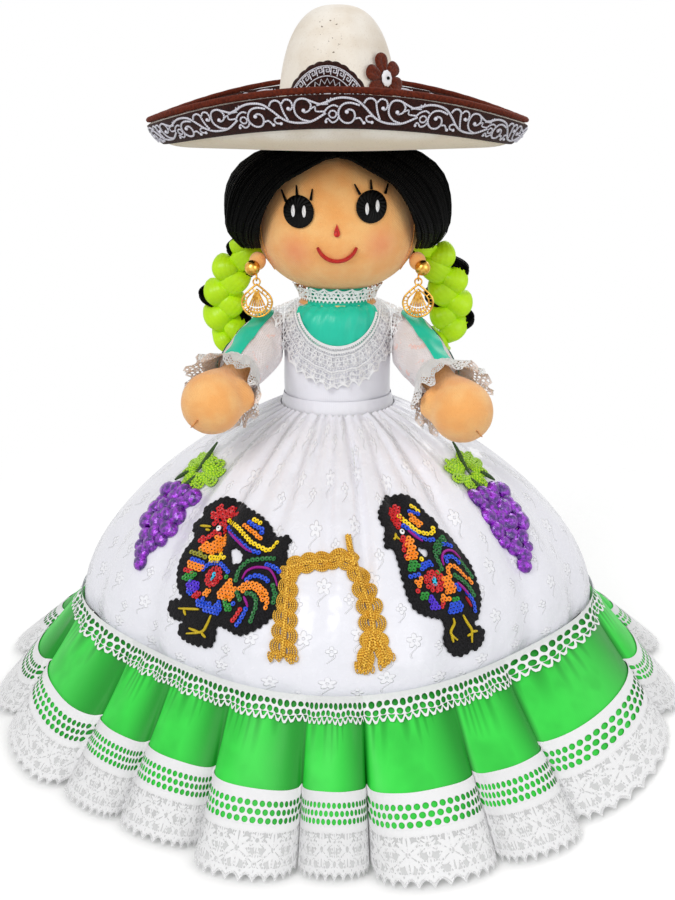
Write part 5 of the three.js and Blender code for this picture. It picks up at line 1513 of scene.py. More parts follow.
# %% Binding and bands
velvet = napped("brown velvet", "velvet", 0.0012, 3, "#431509", "#642410", 0.0004, Roughness=0.9,
                Sheen_Weight=0.35, Specular_IOR_Level=0.2, Sheen_Tint=ink("#8a4028"))
dark_felt = napped("dark brown felt", "dark_felt", 0.0009, 4, "#1d0b09", "#3a1812", 0.0004, Roughness=0.95,
                   Sheen_Weight=0.1, Specular_IOR_Level=0.15)

(rim_r, rim_z), (rim_out, rim_up) = brim_line(1), outwards(brim_line, 1)
BINDING_RADIUS, BINDING_FLAT = 2.1, 0.72
lift = GAP + BINDING_FLAT * BINDING_RADIUS
binding_line = (rim_r + FELT / 2 * rim_out + lift * rim_up, rim_z + FELT / 2 * rim_up - lift * rim_out)


def off_the_rim(t):
    """The direction that leads off the brim's edge, a share t of the way round."""
    return around(rim_up, t * (HAT_COLUMNS - 1) / HAT_COLUMNS * 2 * math.pi, -rim_out)


def binding_radius(t):
    return (BINDING_RADIUS + 0.1 * math.sin(t * 300)) * MM


rim_turns = [i / HAT_COLUMNS * 2 * math.pi for i in range(HAT_COLUMNS)]
rim_path = [Vector(hat_move(around(binding_line[0], angle, binding_line[1]), angle)) * MM for angle in rim_turns]
binding = tube(bmesh.new(), rim_path, binding_radius, 10, closed=True, flat=BINDING_FLAT, facing=off_the_rim)
piece_of("velvet_binding", binding, velvet, "hat", stands_for=["hat_binding"])

band_places = [0.8 + 0.2 * i / 12 for i in range(13)]
for name, facing_off, hidden_off, node in (("outer_brim_band", -1.2, -GAP, "brim_band_outer"),
                                           ("inner_brim_band", FELT + 1.2, FELT + GAP, "brim_band_inner")):
    first = beside(brim_line, band_places, min(facing_off, hidden_off))
    back = beside(brim_line, list(reversed(band_places)), max(facing_off, hidden_off))
    band = turned([*first, *back, first[0]], HAT_COLUMNS, hat_move)
    piece_of(name, band, dark_felt, "hat", stands_for=[node])
print("binding and two bands")

# %% [markdown]
# ### The embroidered vine
# The pattern is the ordinary scroll of needlework: a stem that rises and falls, a curl in each hollow,
# and an eye where two lengths meet.

# %% Embroidery on the brim
SCROLLS = 14
SCROLL_LENGTH = 43.0
BAND_WIDTH = 17.5
# each stroke: cord radius, then points along the band and up it
STROKES = [
    (0.55, [(-7.2, 12.3), (-3.2, 13.6), (1.5, 15.5), (6.1, 15.8), (10.8, 14.6), (14.8, 11.2), (19.5, 6.4),
            (24.1, 4.2), (29.5, 3.8), (34.1, 4.8), (40, 8.5)]),
    (0.5, [(12.1, 12.3), (8.1, 13.4), (4.8, 12.7), (2.8, 10), (2.8, 6.4), (5.3, 3.6), (8.6, 3.7), (10.2, 6.5),
           (9.4, 9.4), (7.2, 10.1), (6.1, 8.8)]),
    (0.45, [(10.3, 5.6), (12.3, 6), (13.5, 4.8), (14.2, 3.7)]),
    (0.45, [(18.6, 4.0), (16.2, 4.4), (15.5, 6.2), (17, 7.3), (19, 6.9)]),
    (0.5, [(14.0, 13.4), (15.2, 15.4), (17.4, 15.9), (19.2, 14.6), (19.8, 12.0), (20.6, 8.9), (22, 5.6)]),
    (0.45, [(19.9, 14.0), (21.6, 15.9), (24, 15.2), (24.8, 12.5), (23.6, 10.6), (22.4, 11.4)]),
    (0.5, [(41, 12.9), (37, 12.9), (33.5, 14.3), (30, 15.8), (27, 15.2), (25.6, 12.4), (25.9, 8.6), (28.5, 5.6),
           (32.5, 4.3)]),
    (0.45, [(31.6, 15.2), (33.2, 12.8), (32.4, 10), (30.2, 9), (29.2, 10.2)]),
    (0.4, [(33.0, 10.6), (35, 11.6), (35.4, 9.4), (39.2, 9.2)]),
    (0.45, [(-4.2, 8.4), (-2.2, 11), (0.4, 12.2), (2.4, 11.4)]),
    (0.45, [(-3.6, 4.0), (-2.4, 5.6), (-0.4, 3.6), (1.8, 4.6), (3.0, 7.2)]),
    (0.42, [(-1.9, 7.8), (-0.9, 9.3), (0.8, 9.3), (1.7, 7.8), (0.8, 6.2), (-0.9, 6.2), (-1.9, 7.8)]),
    (0.4, [(-2.6, 15.2), (-1.6, 13.8), (-0.6, 15.9)]),
]
# the little padded dots that end the curls
DOTS = [(6.4, 9.0, 1.0), (14.6, 3.6, 0.8), (18.4, 4.0, 0.8), (22.8, 11.4, 0.9), (29.7, 10.0, 0.95),
        (-3.2, 3.9, 0.7)]
band_arc = [0.0]
for a, b in zip(band_places, band_places[1:]):
    band_arc.append(band_arc[-1] + math.dist(brim_line(a), brim_line(b)))


def band_point(along, up, off):
    """A place on the brim's band: along it and up it in mm of the pattern, off square to the felt."""
    share = min(1, max(0, up / BAND_WIDTH)) * band_arc[-1]
    k = next(i for i in range(len(band_arc) - 1) if band_arc[i + 1] >= share - 1e-9)
    part = (share - band_arc[k]) / (band_arc[k + 1] - band_arc[k])
    s = band_places[k] + (band_places[k + 1] - band_places[k]) * part
    (r, z), (out, high) = brim_line(s), outwards(brim_line, s)
    angle = along / SCROLL_LENGTH * 2 * math.pi / SCROLLS + math.radians(-1.3)
    return Vector(hat_move(around(r + off * out, angle, z + off * high), angle)) * MM


def embroidery(off):
    bm = bmesh.new()
    for scroll in range(SCROLLS):
        start = scroll * SCROLL_LENGTH
        for radius, points in STROKES:
            drawn = smooth_path([(x, y, 0) for x, y in points], 4 * len(points))
            path = [band_point(start + p.x, p.y, off) for p in drawn]
            tube(bm, path, radius * MM, sides=6)
        for x, y, radius in DOTS:
            place = band_point(start + x, y, off)
            bmesh.ops.create_icosphere(bm, subdivisions=2, radius=radius * MM, matrix=Matrix.Translation(place))
    return bm


white_cord = twisted("white embroidery thread", "lace", 6500, 1500, "#c9c6d6", "#f6f5fb", Roughness=0.6,
                     Specular_IOR_Level=0.4)
piece_of("outer_scrolls", embroidery(-1.35), white_cord, "hat")
piece_of("inner_scrolls", embroidery(FELT + 1.35), white_cord, "hat")
print(SCROLLS, "scrolls on each side of the brim")

# %% [markdown]
# ## Patch and flower on the crown
# The patch is an arch of the same felt with a scalloped edge, and it carries a key pattern: a square-cornered
# line that turns in on itself, bent round the arch. Inside it are a zigzag and a half rosette. The
# flower has six stuffed felt petals, each with a fold down its middle, and a white button.

# %% Crown patch
PATCH_X, PATCH_Z = -5, HAT_SEAT + FELT
PATCH_HALF_WIDTH, PATCH_HEIGHT = 26, 40


def crown_point(x, z, off):
    r = crown_radius(z)
    x = max(-0.98 * r, min(0.98 * r, x))
    y = -math.sqrt(max(0.01, r * r - x * x))
    slope = crown_radius(z + 0.5) - crown_radius(z - 0.5)
    normal = Vector((x, y, -slope * r)).normalized()
    return (Vector((x, y, z)) + normal * off) * MM


def arch_point(turn, inward, off):
    """A place on the patch: turn runs over the arch from 0 to 1, inward is mm in from its edge."""
    angle = math.pi * turn
    x = PATCH_X - (PATCH_HALF_WIDTH - inward) * math.cos(angle)
    z = PATCH_Z + (PATCH_HEIGHT - inward) * math.sin(angle)
    return crown_point(x, max(PATCH_Z + 0.5, z), off)


def patch_place(u, v):
    scallop = 0.55 * abs(math.sin(u * math.pi * 17)) * v ** 6
    inward = (1 - v) * (PATCH_HALF_WIDTH - 0.5) - scallop
    return arch_point(1 - u, inward, 1.2 - 1.3 * max(0, v - 0.94) / 0.06)


piece_of("arched_patch", grid(136, 30, patch_place, (0.1, 0.03)), dark_felt, "hat", stands_for=["crown_patch"])

KEY_FROM, KEY_HEIGHT, KEYS = 3.2, 3.4, 19
KEY_TURNS = [(0, 0), (0, 1), (0.78, 1), (0.78, 0.36), (0.36, 0.36), (0.36, 0.68), (0.56, 0.68)]
stitched = bmesh.new()
for k in range(KEYS):
    corners = [((k + x) / KEYS, KEY_FROM + KEY_HEIGHT * (1 - y)) for x, y in KEY_TURNS]
    path = []
    for (t0, i0), (t1, i1) in zip(corners, corners[1:]):
        path += [arch_point(t0 + (t1 - t0) * q / 4, i0 + (i1 - i0) * q / 4, 1.4) for q in range(4)]
    path.append(arch_point(*corners[-1], 1.4))
    tube(stitched, path, 0.33 * MM, sides=6)
for inward in (2.5, 7.4):
    tube(stitched, [arch_point(i / 90, inward, 1.35) for i in range(91)], 0.3 * MM, sides=6)
zigzag = [arch_point(i / 36, 8.6 + (2.6 if i % 2 else 0), 1.4) for i in range(37)]
tube(stitched, zigzag, 0.38 * MM, sides=6)
ROSETTE = 7
petal_turns = [q / 12 * 2 * math.pi for q in range(13)]
for k in range(ROSETTE):
    turn = (k + 0.5) / ROSETTE
    petal = [arch_point(turn + 0.045 * math.sin(a), 16.5 - 4.0 * math.cos(a), 1.4) for a in petal_turns]
    tube(stitched, petal, 0.42 * MM, sides=6)
    bmesh.ops.create_icosphere(stitched, subdivisions=2, radius=1.3 * MM,
                               matrix=Matrix.Translation(arch_point(turn, 15.5, 1.2)))
piece_of("key_pattern", stitched, white_cord, "hat")
print(KEYS, "keys over the arch")

# %% Felt flower
petal_felt = napped("brown petal felt", "velvet", 0.001, 4, "#4a180a", "#702a12", 0.0005, Roughness=0.95,
                    Sheen_Weight=0.3, Specular_IOR_Level=0.15)

FLOWER_MIDDLE, FLOWER_TURN, FLOWER_LEAN = (23.2, -20.2, HAT_SEAT + 33.5), math.radians(36), 0.13
flower_place = Matrix.Translation(Vector(FLOWER_MIDDLE) * MM) @ Matrix.Rotation(FLOWER_TURN, 4, "Z")
flower_place = flower_place @ Matrix.Rotation(math.pi / 2 - FLOWER_LEAN, 4, "X")
# each petal's direction in degrees and its length in mm
PETALS = [(97, 12.4), (38, 10.6), (-22, 11.2), (-82, 9.5), (-143, 10.6), (157, 11.4)]
petals = bmesh.new()
for k, (turn, length) in enumerate(PETALS):
    shape = egg(24, 14)
    for vert in shape.verts:
        x, y, z = vert.co
        wide = 5.5 * (0.68 + 0.32 * x)
        crease = 0.55 * near(y, 0, 0.28) * max(0, z)
        vert.co = Vector(((x + 1) / 2 * length + 1, y * wide, 1.9 + z * 1.5 - crease + 0.25 * (k % 2))) * MM
    shape.transform(flower_place @ Matrix.Rotation(math.radians(turn), 4, "Z"))
    merge(petals, shape)
piece_of("felt_flower", petals, petal_felt, "hat", stands_for=["hat_flower"])

button = egg(28, 14)
for vert in button.verts:
    x, y, z = vert.co
    reach = math.hypot(x, y)
    fluted = 1 + 0.05 * math.cos(9 * math.atan2(y, x)) * reach
    vert.co = Vector((x * 3.2 * fluted, y * 4.2 * fluted, 4.1 + z * 1.1 - 0.6 * near(reach, 0, 0.3))) * MM
button.transform(flower_place)
white_button = Finish("white button", "lace", Roughness=0.5, Base_Color=ink("#efeef4"))
piece_of("flower_button_white", button, white_button, "hat", stands_for=["flower_button"])
dot = bmesh.new()
bmesh.ops.create_icosphere(dot, subdivisions=3, radius=0.9 * MM,
                           matrix=flower_place @ Matrix.Translation(Vector((0.3, 0, 4.9)) * MM))
piece_of("button_thread", dot, black_thread, "hat")
print("flower with six petals")

# %% [markdown]
# ## Patches on the skirt
# Two birds worked in sequins on black felt, two bunches of grapes with crocheted leaves and three lengths of
# gold galloon are sewn on the skirt. Each is drawn flat in millimetres, like the real patch before it was
# sewn on, and then laid on the bell: up is measured along the bell's line and across is measured round it.

# %% From flat patch to skirt
BELL_STEPS = 400
bell_arcs = [0.0]
for i in range(BELL_STEPS):
    bell_arcs.append(bell_arcs[-1] + math.dist(bell_line(i / BELL_STEPS), bell_line((i + 1) / BELL_STEPS)))


def arc_at(s):
    k = min(BELL_STEPS - 1, int(s * BELL_STEPS))
    return bell_arcs[k] + (bell_arcs[k + 1] - bell_arcs[k]) * (s * BELL_STEPS - k)


def place_at(arc):
    arc = min(bell_arcs[-1] - 0.01, max(2.0, arc))
    k = min(BELL_STEPS - 1, bisect.bisect_left(bell_arcs, arc) - 1)
    return (k + (arc - bell_arcs[k]) / (bell_arcs[k + 1] - bell_arcs[k])) / BELL_STEPS


def on_skirt(middle, x, y, lift):
    """The skirt at x mm across and y mm up from a middle, which is an angle in degrees and a place s."""
    degrees, start = middle
    s = place_at(arc_at(start) - y)
    r = bell_line(s)[0] - drawn_in(math.radians(degrees)) * math.sin(s * math.pi / 2) ** 2
    return skirt_point(math.radians(degrees) + x / r, s, lift)


def skirt_frame(middle, x, y, lift, tilt=(0, 0)):
    """A matrix that stands on the skirt there, its Z square to the cloth."""
    here = on_skirt(middle, x, y, lift)
    along = (on_skirt(middle, x + 0.4, y, lift) - here).normalized()
    upward = (on_skirt(middle, x, y + 0.4, lift) - here).normalized()
    square = along.cross(upward).normalized()
    upward = square.cross(along)
    basis = Matrix((along, upward, square)).transposed().to_4x4()
    leaning = Matrix.Rotation(tilt[0], 4, "X") @ Matrix.Rotation(tilt[1], 4, "Y")
    return Matrix.Translation(here) @ basis @ leaning


def inside_outline(x, y, outline):
    within = False
    for (ax, ay), (bx, by) in zip(outline, outline[1:] + outline[:1]):
        if (ay > y) != (by > y) and x < ax + (y - ay) / (by - ay) * (bx - ax):
            within = not within
    return within


def gap_to(x, y, outline):
    """The distance from a point to the nearest side of an outline."""
    nearest = 1e9
    for (ax, ay), (bx, by) in zip(outline, outline[1:] + outline[:1]):
        length = (bx - ax) ** 2 + (by - ay) ** 2
        t = max(0, min(1, ((x - ax) * (bx - ax) + (y - ay) * (by - ay)) / max(length, 1e-9)))
        nearest = min(nearest, math.hypot(x - ax - t * (bx - ax), y - ay - t * (by - ay)))
    return nearest


def spread(outline, spacing, margin):
    """Points in staggered rows that fill an outline."""
    xs, ys = [p[0] for p in outline], [p[1] for p in outline]
    points = []
    row, y = 0, min(ys)
    while y <= max(ys):
        x = min(xs) + (row % 2) * spacing / 2
        while x <= max(xs):
            if inside_outline(x, y, outline) and gap_to(x, y, outline) >= margin:
                points.append((x, y))
            x += spacing
        row, y = row + 1, y + spacing * 0.87
    return points or [(sum(xs) / len(xs), sum(ys) / len(ys))]


print("the bell's line is", round(bell_arcs[-1]), "mm long")

# %% [markdown]
# ### The birds
# A rooster in a wide hat is an old folk subject. Each patch is black felt with a wavy edge. On it the
# sequins lie in staggered rows that fill a field of one colour, or in single file along a line, and a
# few lines are stitched. Each sequin is a small cup with a hole for its thread, and sits a little askew.

# %% The drawings
RED, ORANGE, YELLOW, OLIVE = ink("#cf0010"), ink("#ff9000"), ink("#ffdc00"), ink("#8f8c00")
GREEN, DEEP_GREEN, BLUE, SKY = ink("#008a1c"), ink("#006a26"), ink("#0048d8"), ink("#20c4ea")
PURPLE, MAGENTA = ink("#4a14d0"), ink("#c400b0")

LEFT_BIRD = {
    "middle": (-29.4, 0.556), "eye": (-15, 23.5), "flower": (-5.5, -3.5),
    "felt": [(-28.5, 31.5), (-19, 40), (-10.5, 41), (-1.5, 36.5), (5, 34.5), (14.5, 29), (21, 22.5), (28.5, 22.5),
             (29, 15.5), (31, 10.5), (35, 0), (35.5, -13), (32, -22), (25.5, -27.5), (19, -30.5), (10, -28), (4, -28),
             (4, -35.5), (1.5, -40.5), (-11, -41), (-18.5, -38.5), (-18, -33.5), (-10, -31.5), (-14, -30),
             (-24.5, -30.5), (-30, -28), (-29, -23), (-19, -19.5), (-26, -15), (-30, -8), (-31.5, -1), (-30, 7),
             (-27, 12), (-28, 17), (-32, 19.5), (-29, 24), (-27, 26)],
    "holes": [[(-1.5, 12.5), (2, 14), (7, 11), (7.5, 6), (3.5, 5)]],
    "fills": [
        (RED, [(-23.5, 29.5), (-22, 30.5), (-19.5, 30), (-19.5, 35.5), (-17, 36.5), (-15, 34), (-13, 37.5),
               (-10.5, 37.5), (-10, 35), (-5.5, 35), (-4, 32.5), (-9.5, 32), (-14, 30), (-18, 26), (-20.5, 26.5)]),
        (RED, [(-19, 25.5), (-14, 30), (-10, 26), (-9, 22), (-13.5, 21), (-16, 18), (-18, 14.5), (-20, 11.5),
               (-23, 12.5), (-23.5, 14.5), (-20, 17), (-18, 20), (-18.5, 23)]),
        (ORANGE, [(-15.5, 19.5), (-8.5, 21), (-7, 18), (-4, 10.5), (-10.5, 9.5), (-18.5, 7.5), (-20.5, 9),
                  (-21, 10.5), (-18.5, 13.5), (-15, 16)]),
        (YELLOW, [(-15.5, 8), (-4, 9.5), (-1.5, 6), (-13.5, 3.5)]),
        (OLIVE, [(-26, 5.5), (-19.5, 9), (-17, 7.5), (-15, 5.5), (-18, 4.5), (-24, 4)]),
        (ORANGE, [(-26.5, 0), (-23.5, 1.5), (-15, 1.5), (-15, -1), (-18, -3.5), (-22, -2.5)]),
        (RED, [(-26.5, -4), (-21, -2.5), (-20, -5), (-23, -6)]),
        (GREEN, [(-25.5, -7), (-17.5, -3.5), (-16, -6), (-20.5, -9.5), (-23.5, -10.5)]),
        (PURPLE, [(-22.5, -11), (-18.5, -8.5), (-13, -9), (-11.5, -11.5), (-16, -15), (-20, -14)]),
        (RED, [(-15.5, -15.5), (-12, -12.5), (-9, -14.5), (-13.5, -18)]),
        (ORANGE, [(6, -3.5), (9.5, -6.5), (11.5, -8.5), (11, -12), (8.5, -15.5), (3, -14.5), (-0.5, -13), (1, -10),
                  (3.5, -7)]),
        (ORANGE, [(-6.5, -9.5), (-2.5, -12.5), (-9, -15.5)]),
        (BLUE, [(-12, -18), (-8.5, -15.5), (-4, -17.5), (1.5, -19), (3, -15.5), (8, -21), (4.5, -23.5), (1.5, -24),
                (-4, -22.5), (-10, -21)]),
        (GREEN, [(5.5, -15), (9.5, -15.5), (12, -19), (8, -21)]),
    ],
    "rows": [
        (BLUE, [(-23, 2.5), (-19, 2.5), (-16, 2.5)]), (BLUE, [(-19, -14.5), (-17, -15.5)]),
        (BLUE, [(-14.5, -0.5), (-13, 2.5), (-9.5, 4), (-4.5, 4), (-0.5, 2.5), (3, 0)]),
        (GREEN, [(3, -2.5), (3.4, -3.5)]), (BLUE, [(12, -16), (12.4, -17.5)]),
        (YELLOW, [(-11.5, 30), (-4, 26.5), (3, 22.5), (10, 18), (16, 16), (20.5, 15.5), (23.5, 19.5)]),
        (BLUE, [(-9.5, 25.5), (-2.5, 20.5), (5, 16.5), (11, 13.5), (17.5, 13)]),
        (ORANGE, [(2, 27), (8, 24), (14, 20.5)]), (BLUE, [(4, 29), (9, 27), (12, 26.5), (13.5, 23.5)]),
        (YELLOW, [(6, 31), (10.5, 29.5)]),
        (DEEP_GREEN, [(9, -3.5), (9, 2), (12, 7), (17, 9.5), (22.5, 10.5), (27, 10)]),
        (BLUE, [(22.5, 7), (27, 5.5), (31, 3)]), (BLUE, [(15, -2.5), (17.5, 0), (22.5, 0), (28, -3)]),
        (ORANGE, [(13, -7.5), (15.5, -4.5), (21.5, -4.5), (27.5, -8.5), (30, -13.5), (29.5, -17.5)]),
        (ORANGE, [(15, -8.5), (17, -6.6), (21, -6.6), (25.8, -9.8), (28, -14)]),
        (DEEP_GREEN, [(30, -4.5), (32.5, -9), (33, -13.5)]),
        (DEEP_GREEN, [(17.5, -9.5), (22, -10.5), (24.5, -15), (24.5, -20), (24, -24)]),
        (DEEP_GREEN, [(12, -9.5), (15, -13.5)]), (BLUE, [(19.5, -18), (19, -22), (17, -26.5)]),
        (RED, [(16.6, -18.5), (15.2, -22.5), (13.5, -26)]),
    ],
    "stitches": [
        (YELLOW, [(-26, 21), (-19, 22.5)]), (YELLOW, [(-21.5, 20), (-18.5, 20.5)]),
        (MAGENTA, [(-7.5, 23), (1, 18), (8, 14), (12.5, 12.5)]),
        (MAGENTA, [(12.5, -2.5), (13.5, 2), (18, 5), (24.5, 4.5), (29.5, 0), (32.5, -5)]),
        (MAGENTA, [(16.5, -11.5), (19, -14.5), (20.5, -17)]),
        (YELLOW, [(-8, -22.5), (-13.5, -23.5), (-23, -25.5)]), (YELLOW, [(-18.5, -25), (-16, -28)]),
        (YELLOW, [(0.5, -24), (-1, -30), (-3.5, -34), (-13.5, -37.5)]), (YELLOW, [(-3.5, -34.5), (0.5, -37)]),
        (YELLOW, [(-5, -34.5), (-12, -34)]),
    ],
}
RIGHT_BIRD = {
    "middle": (23.7, 0.577), "eye": (-8.5, 29.5), "flower": (0, 0),
    "felt": [(-8, 52.5), (-3.5, 51), (4, 48), (7.5, 38), (11.5, 33), (12, 27), (14, 26.5), (20, 21.5), (23, 14),
             (25.5, 7.5), (26.5, 0), (26.5, -9.5), (25, -16), (21, -23), (18, -24.5), (18.5, -28), (23.5, -30.5),
             (23, -35), (18, -39.5), (13, -38.5), (10.5, -41), (3.5, -39.5), (-0.5, -32), (1.5, -26), (0.5, -19.5),
             (-8.5, -16.5), (-14, -12.5), (-16, -3), (-15.5, 10), (-15.5, 20), (-19.5, 21), (-18, 27), (-16, 30),
             (-17, 34), (-17, 40), (-13, 46)],
    "holes": [[(-2.8, 19), (-0.8, 18.8), (1.5, 17), (1, 14), (-1, 13)], [(9, -25.4), (10.6, -26), (10, -27.5)]],
    "fills": [
        (RED, [(-12.5, 39.5), (-9, 45), (-6, 46.5), (-4.5, 44.5), (-4.5, 42), (-6, 39), (-6.5, 34.5), (-8.5, 32),
               (-10.5, 30.5), (-12.5, 34), (-13, 37.5)]),
        (RED, [(-9.5, 27), (-7.5, 26), (-8.5, 23), (-10, 18), (-12, 13), (-12.5, 15.5), (-12, 20.5)]),
        (ORANGE, [(-7.5, 27), (-5, 27), (-5, 22.5), (-4.5, 15), (-5, 13.5), (-10.5, 12), (-12, 13), (-10, 18)]),
        (YELLOW, [(-4.5, 14.5), (-2.5, 13.5), (-3.5, 10.5), (-5, 10.5)]),
        (GREEN, [(-11.5, 12), (-6, 12.5), (-6, 9), (-10.5, 5.5), (-13, 5.5)]),
        (ORANGE, [(-12.5, 0.5), (-10, 2), (-6.5, 2.5), (-6.5, 0), (-10, -3.5), (-12, -1)]),
        (RED, [(-12, -3.5), (-8.5, -4.5), (-9.5, -6), (-11.5, -5.5)]),
        (GREEN, [(-10.5, -7), (-7.5, -4.5), (-5, -5), (-7, -8.5), (-10, -10)]),
        (PURPLE, [(-6.5, -9), (-4, -7), (0, -11.5), (-1, -14), (-3.5, -15.5), (-6.5, -13)]),
        (RED, [(0, -11.5), (2.5, -11.5), (2.5, -15.5), (0.5, -15.5)]),
        (BLUE, [(4, -14), (10, -11.5), (13, -14.5), (11.5, -19), (6, -19), (4, -17)]),
        (ORANGE, [(5, 2.5), (9.5, 0), (11.5, -4.5), (11, -8.5), (7.5, -8.5), (5, -7.5), (4.5, -1.5)]),
        (ORANGE, [(1, -7), (4.5, -7.5), (7, -10), (3, -12), (1, -9.5)]),
        (GREEN, [(8, -9.5), (13.5, -10.5), (13, -13), (8.5, -12.5)]),
    ],
    "rows": [
        (BLUE, [(-12.5, 3.5), (-6.5, 4.5)]), (BLUE, [(-5, 7), (-1.5, 9), (2.5, 8)]), (BLUE, [(-4, 9.5), (1, 10.5)]),
        (GREEN, [(3.5, 4.5), (4.2, 3.4)]),
        (YELLOW, [(-6.5, 39), (-5.5, 36), (-4, 32.5), (-1, 28.5), (2.5, 26.5), (6.5, 26), (9, 27.5), (8.5, 30)]),
        (BLUE, [(-6.5, 33), (-4, 28.5), (-1, 25), (3.5, 22.5), (7.5, 22.5)]),
        (ORANGE, [(-1, 38), (1, 34.5), (4, 31)]), (ORANGE, [(-2, 35), (1, 31)]),
        (BLUE, [(-1, 40), (2, 38.5), (4.5, 37.5)]), (YELLOW, [(1, 43), (3, 41.5), (4, 39.5)]),
        (DEEP_GREEN, [(13, 23), (7.5, 19.5), (5, 15), (5.5, 10), (6, 5.5)]),
        (DEEP_GREEN, [(13.5, 21), (9, 18), (7, 13.5)]), (BLUE, [(12, 19), (16.5, 17.5)]),
        (BLUE, [(10.5, 9.5), (11, 12), (15.5, 11), (19, 6.5)]),
        (ORANGE, [(10, 1.5), (9.5, 5), (12, 7), (16, 4.5), (19.5, -0.5), (22.5, -3), (23, -6)]),
        (DEEP_GREEN, [(19.5, 9.5), (22.5, 4), (24.5, -1.5)]),
        (DEEP_GREEN, [(13, 1.5), (17, -2), (20.5, -6.5), (22.5, -12.5)]),
        (BLUE, [(17.5, -9), (20.5, -14), (20.5, -19.5)]), (BLUE, [(12.5, -4), (14, -8)]),
    ],
    "stitches": [
        (YELLOW, [(-12.5, 28.5), (-13, 26.5), (-11, 25)]), (YELLOW, [(-15, 24.5), (-13, 26.5)]),
        (MAGENTA, [(-5.5, 29.5), (-2.5, 25), (0.5, 22)]),
        (MAGENTA, [(8, 7.5), (8.5, 12), (11.5, 15), (16.5, 14.5), (20.5, 10)]),
        (MAGENTA, [(13.5, -2.5), (16.5, -6.5), (19, -10.5)]), (RED, [(16.5, -11), (18, -14.5), (19, -17.5)]),
        (YELLOW, [(6.5, -20.5), (6.5, -23.5), (4, -26.5), (3.5, -29), (7, -33)]), (YELLOW, [(3.5, -29), (4, -34)]),
        (YELLOW, [(12.5, -20), (14, -24.5), (16, -29), (15.5, -32), (15, -36)]), (YELLOW, [(16, -30), (20, -30.5)]),
        (YELLOW, [(15.5, -31), (12, -32)]),
    ],
}
print("two drawings, with", [len(bird["fills"]) for bird in (LEFT_BIRD, RIGHT_BIRD)], "fields of colour")

# %% Sewing the birds
black_felt = napped("black felt", "black_thread", 0.0008, 4, "#0a0a0b", "#232225", 0.0004, Roughness=0.95,
                    Sheen_Weight=0.15, Specular_IOR_Level=0.1)
foil = Finish("sequin foil", "sequins", Metallic=0.0, Specular_IOR_Level=0.4, Coat_Weight=0.12, Coat_Roughness=0.08)
foil_shade = foil.node("Attribute", {"attribute_name": "shade"}, out="Color")
foil_ripple = foil.noise(0.0006, 2)
foil.set(Base_Color=foil_shade, Roughness=0.18 + 0.2 * foil_ripple)
foil.bump(foil_ripple, 0.00006)

FELT_PATCH = 1.3
SEQUIN_RADIUS, SEQUIN_HOLE = 1.34, 0.42
sequin_dice = random.Random(11)


def shaded(bm, colour):
    """Gives every point of a bmesh one colour, in the attribute that the foil reads."""
    layer = bm.verts.layers.float_color.get("shade") or bm.verts.layers.float_color.new("shade")
    for vert in bm.verts:
        vert[layer] = colour
    return bm


def sequin(colour):
    """A cup with a hole, in mm, as a mesh."""
    def place(u, v):
        reach = SEQUIN_HOLE + (SEQUIN_RADIUS - SEQUIN_HOLE) * v
        turn = u * 2 * math.pi
        height = 0.1 + 0.3 * v ** 1.6
        return Vector((reach * math.cos(turn), reach * math.sin(turn), height)) * MM
    bm = shaded(grid(10, 3, place, (0.006, 0.001), closed=True), colour)
    bmesh.ops.reverse_faces(bm, faces=[f for f in bm.faces if f.normal.z < 0])
    mesh = bpy.data.meshes.new("sequin")
    bm.to_mesh(mesh)
    bm.free()
    return mesh


cups = {colour: sequin(colour) for colour in (RED, ORANGE, YELLOW, OLIVE, GREEN, DEEP_GREEN, BLUE, SKY, PURPLE)}


def strung(points, spacing):
    """Points at even steps along a smooth line."""
    fine = smooth_path([(x, y, 0) for x, y in points], 12 * len(points))
    kept, since = [fine[0]], 0.0
    for a, b in zip(fine, fine[1:]):
        since += (b - a).length
        if since >= spacing:
            kept.append(b)
            since = 0.0
    return [(p.x, p.y) for p in kept]


def stitch_radius(t):
    """A line of satin stitch is widest at its middle."""
    return (0.42 + 0.34 * math.sin(math.pi * min(1, max(0, t)) ** 0.8)) * MM


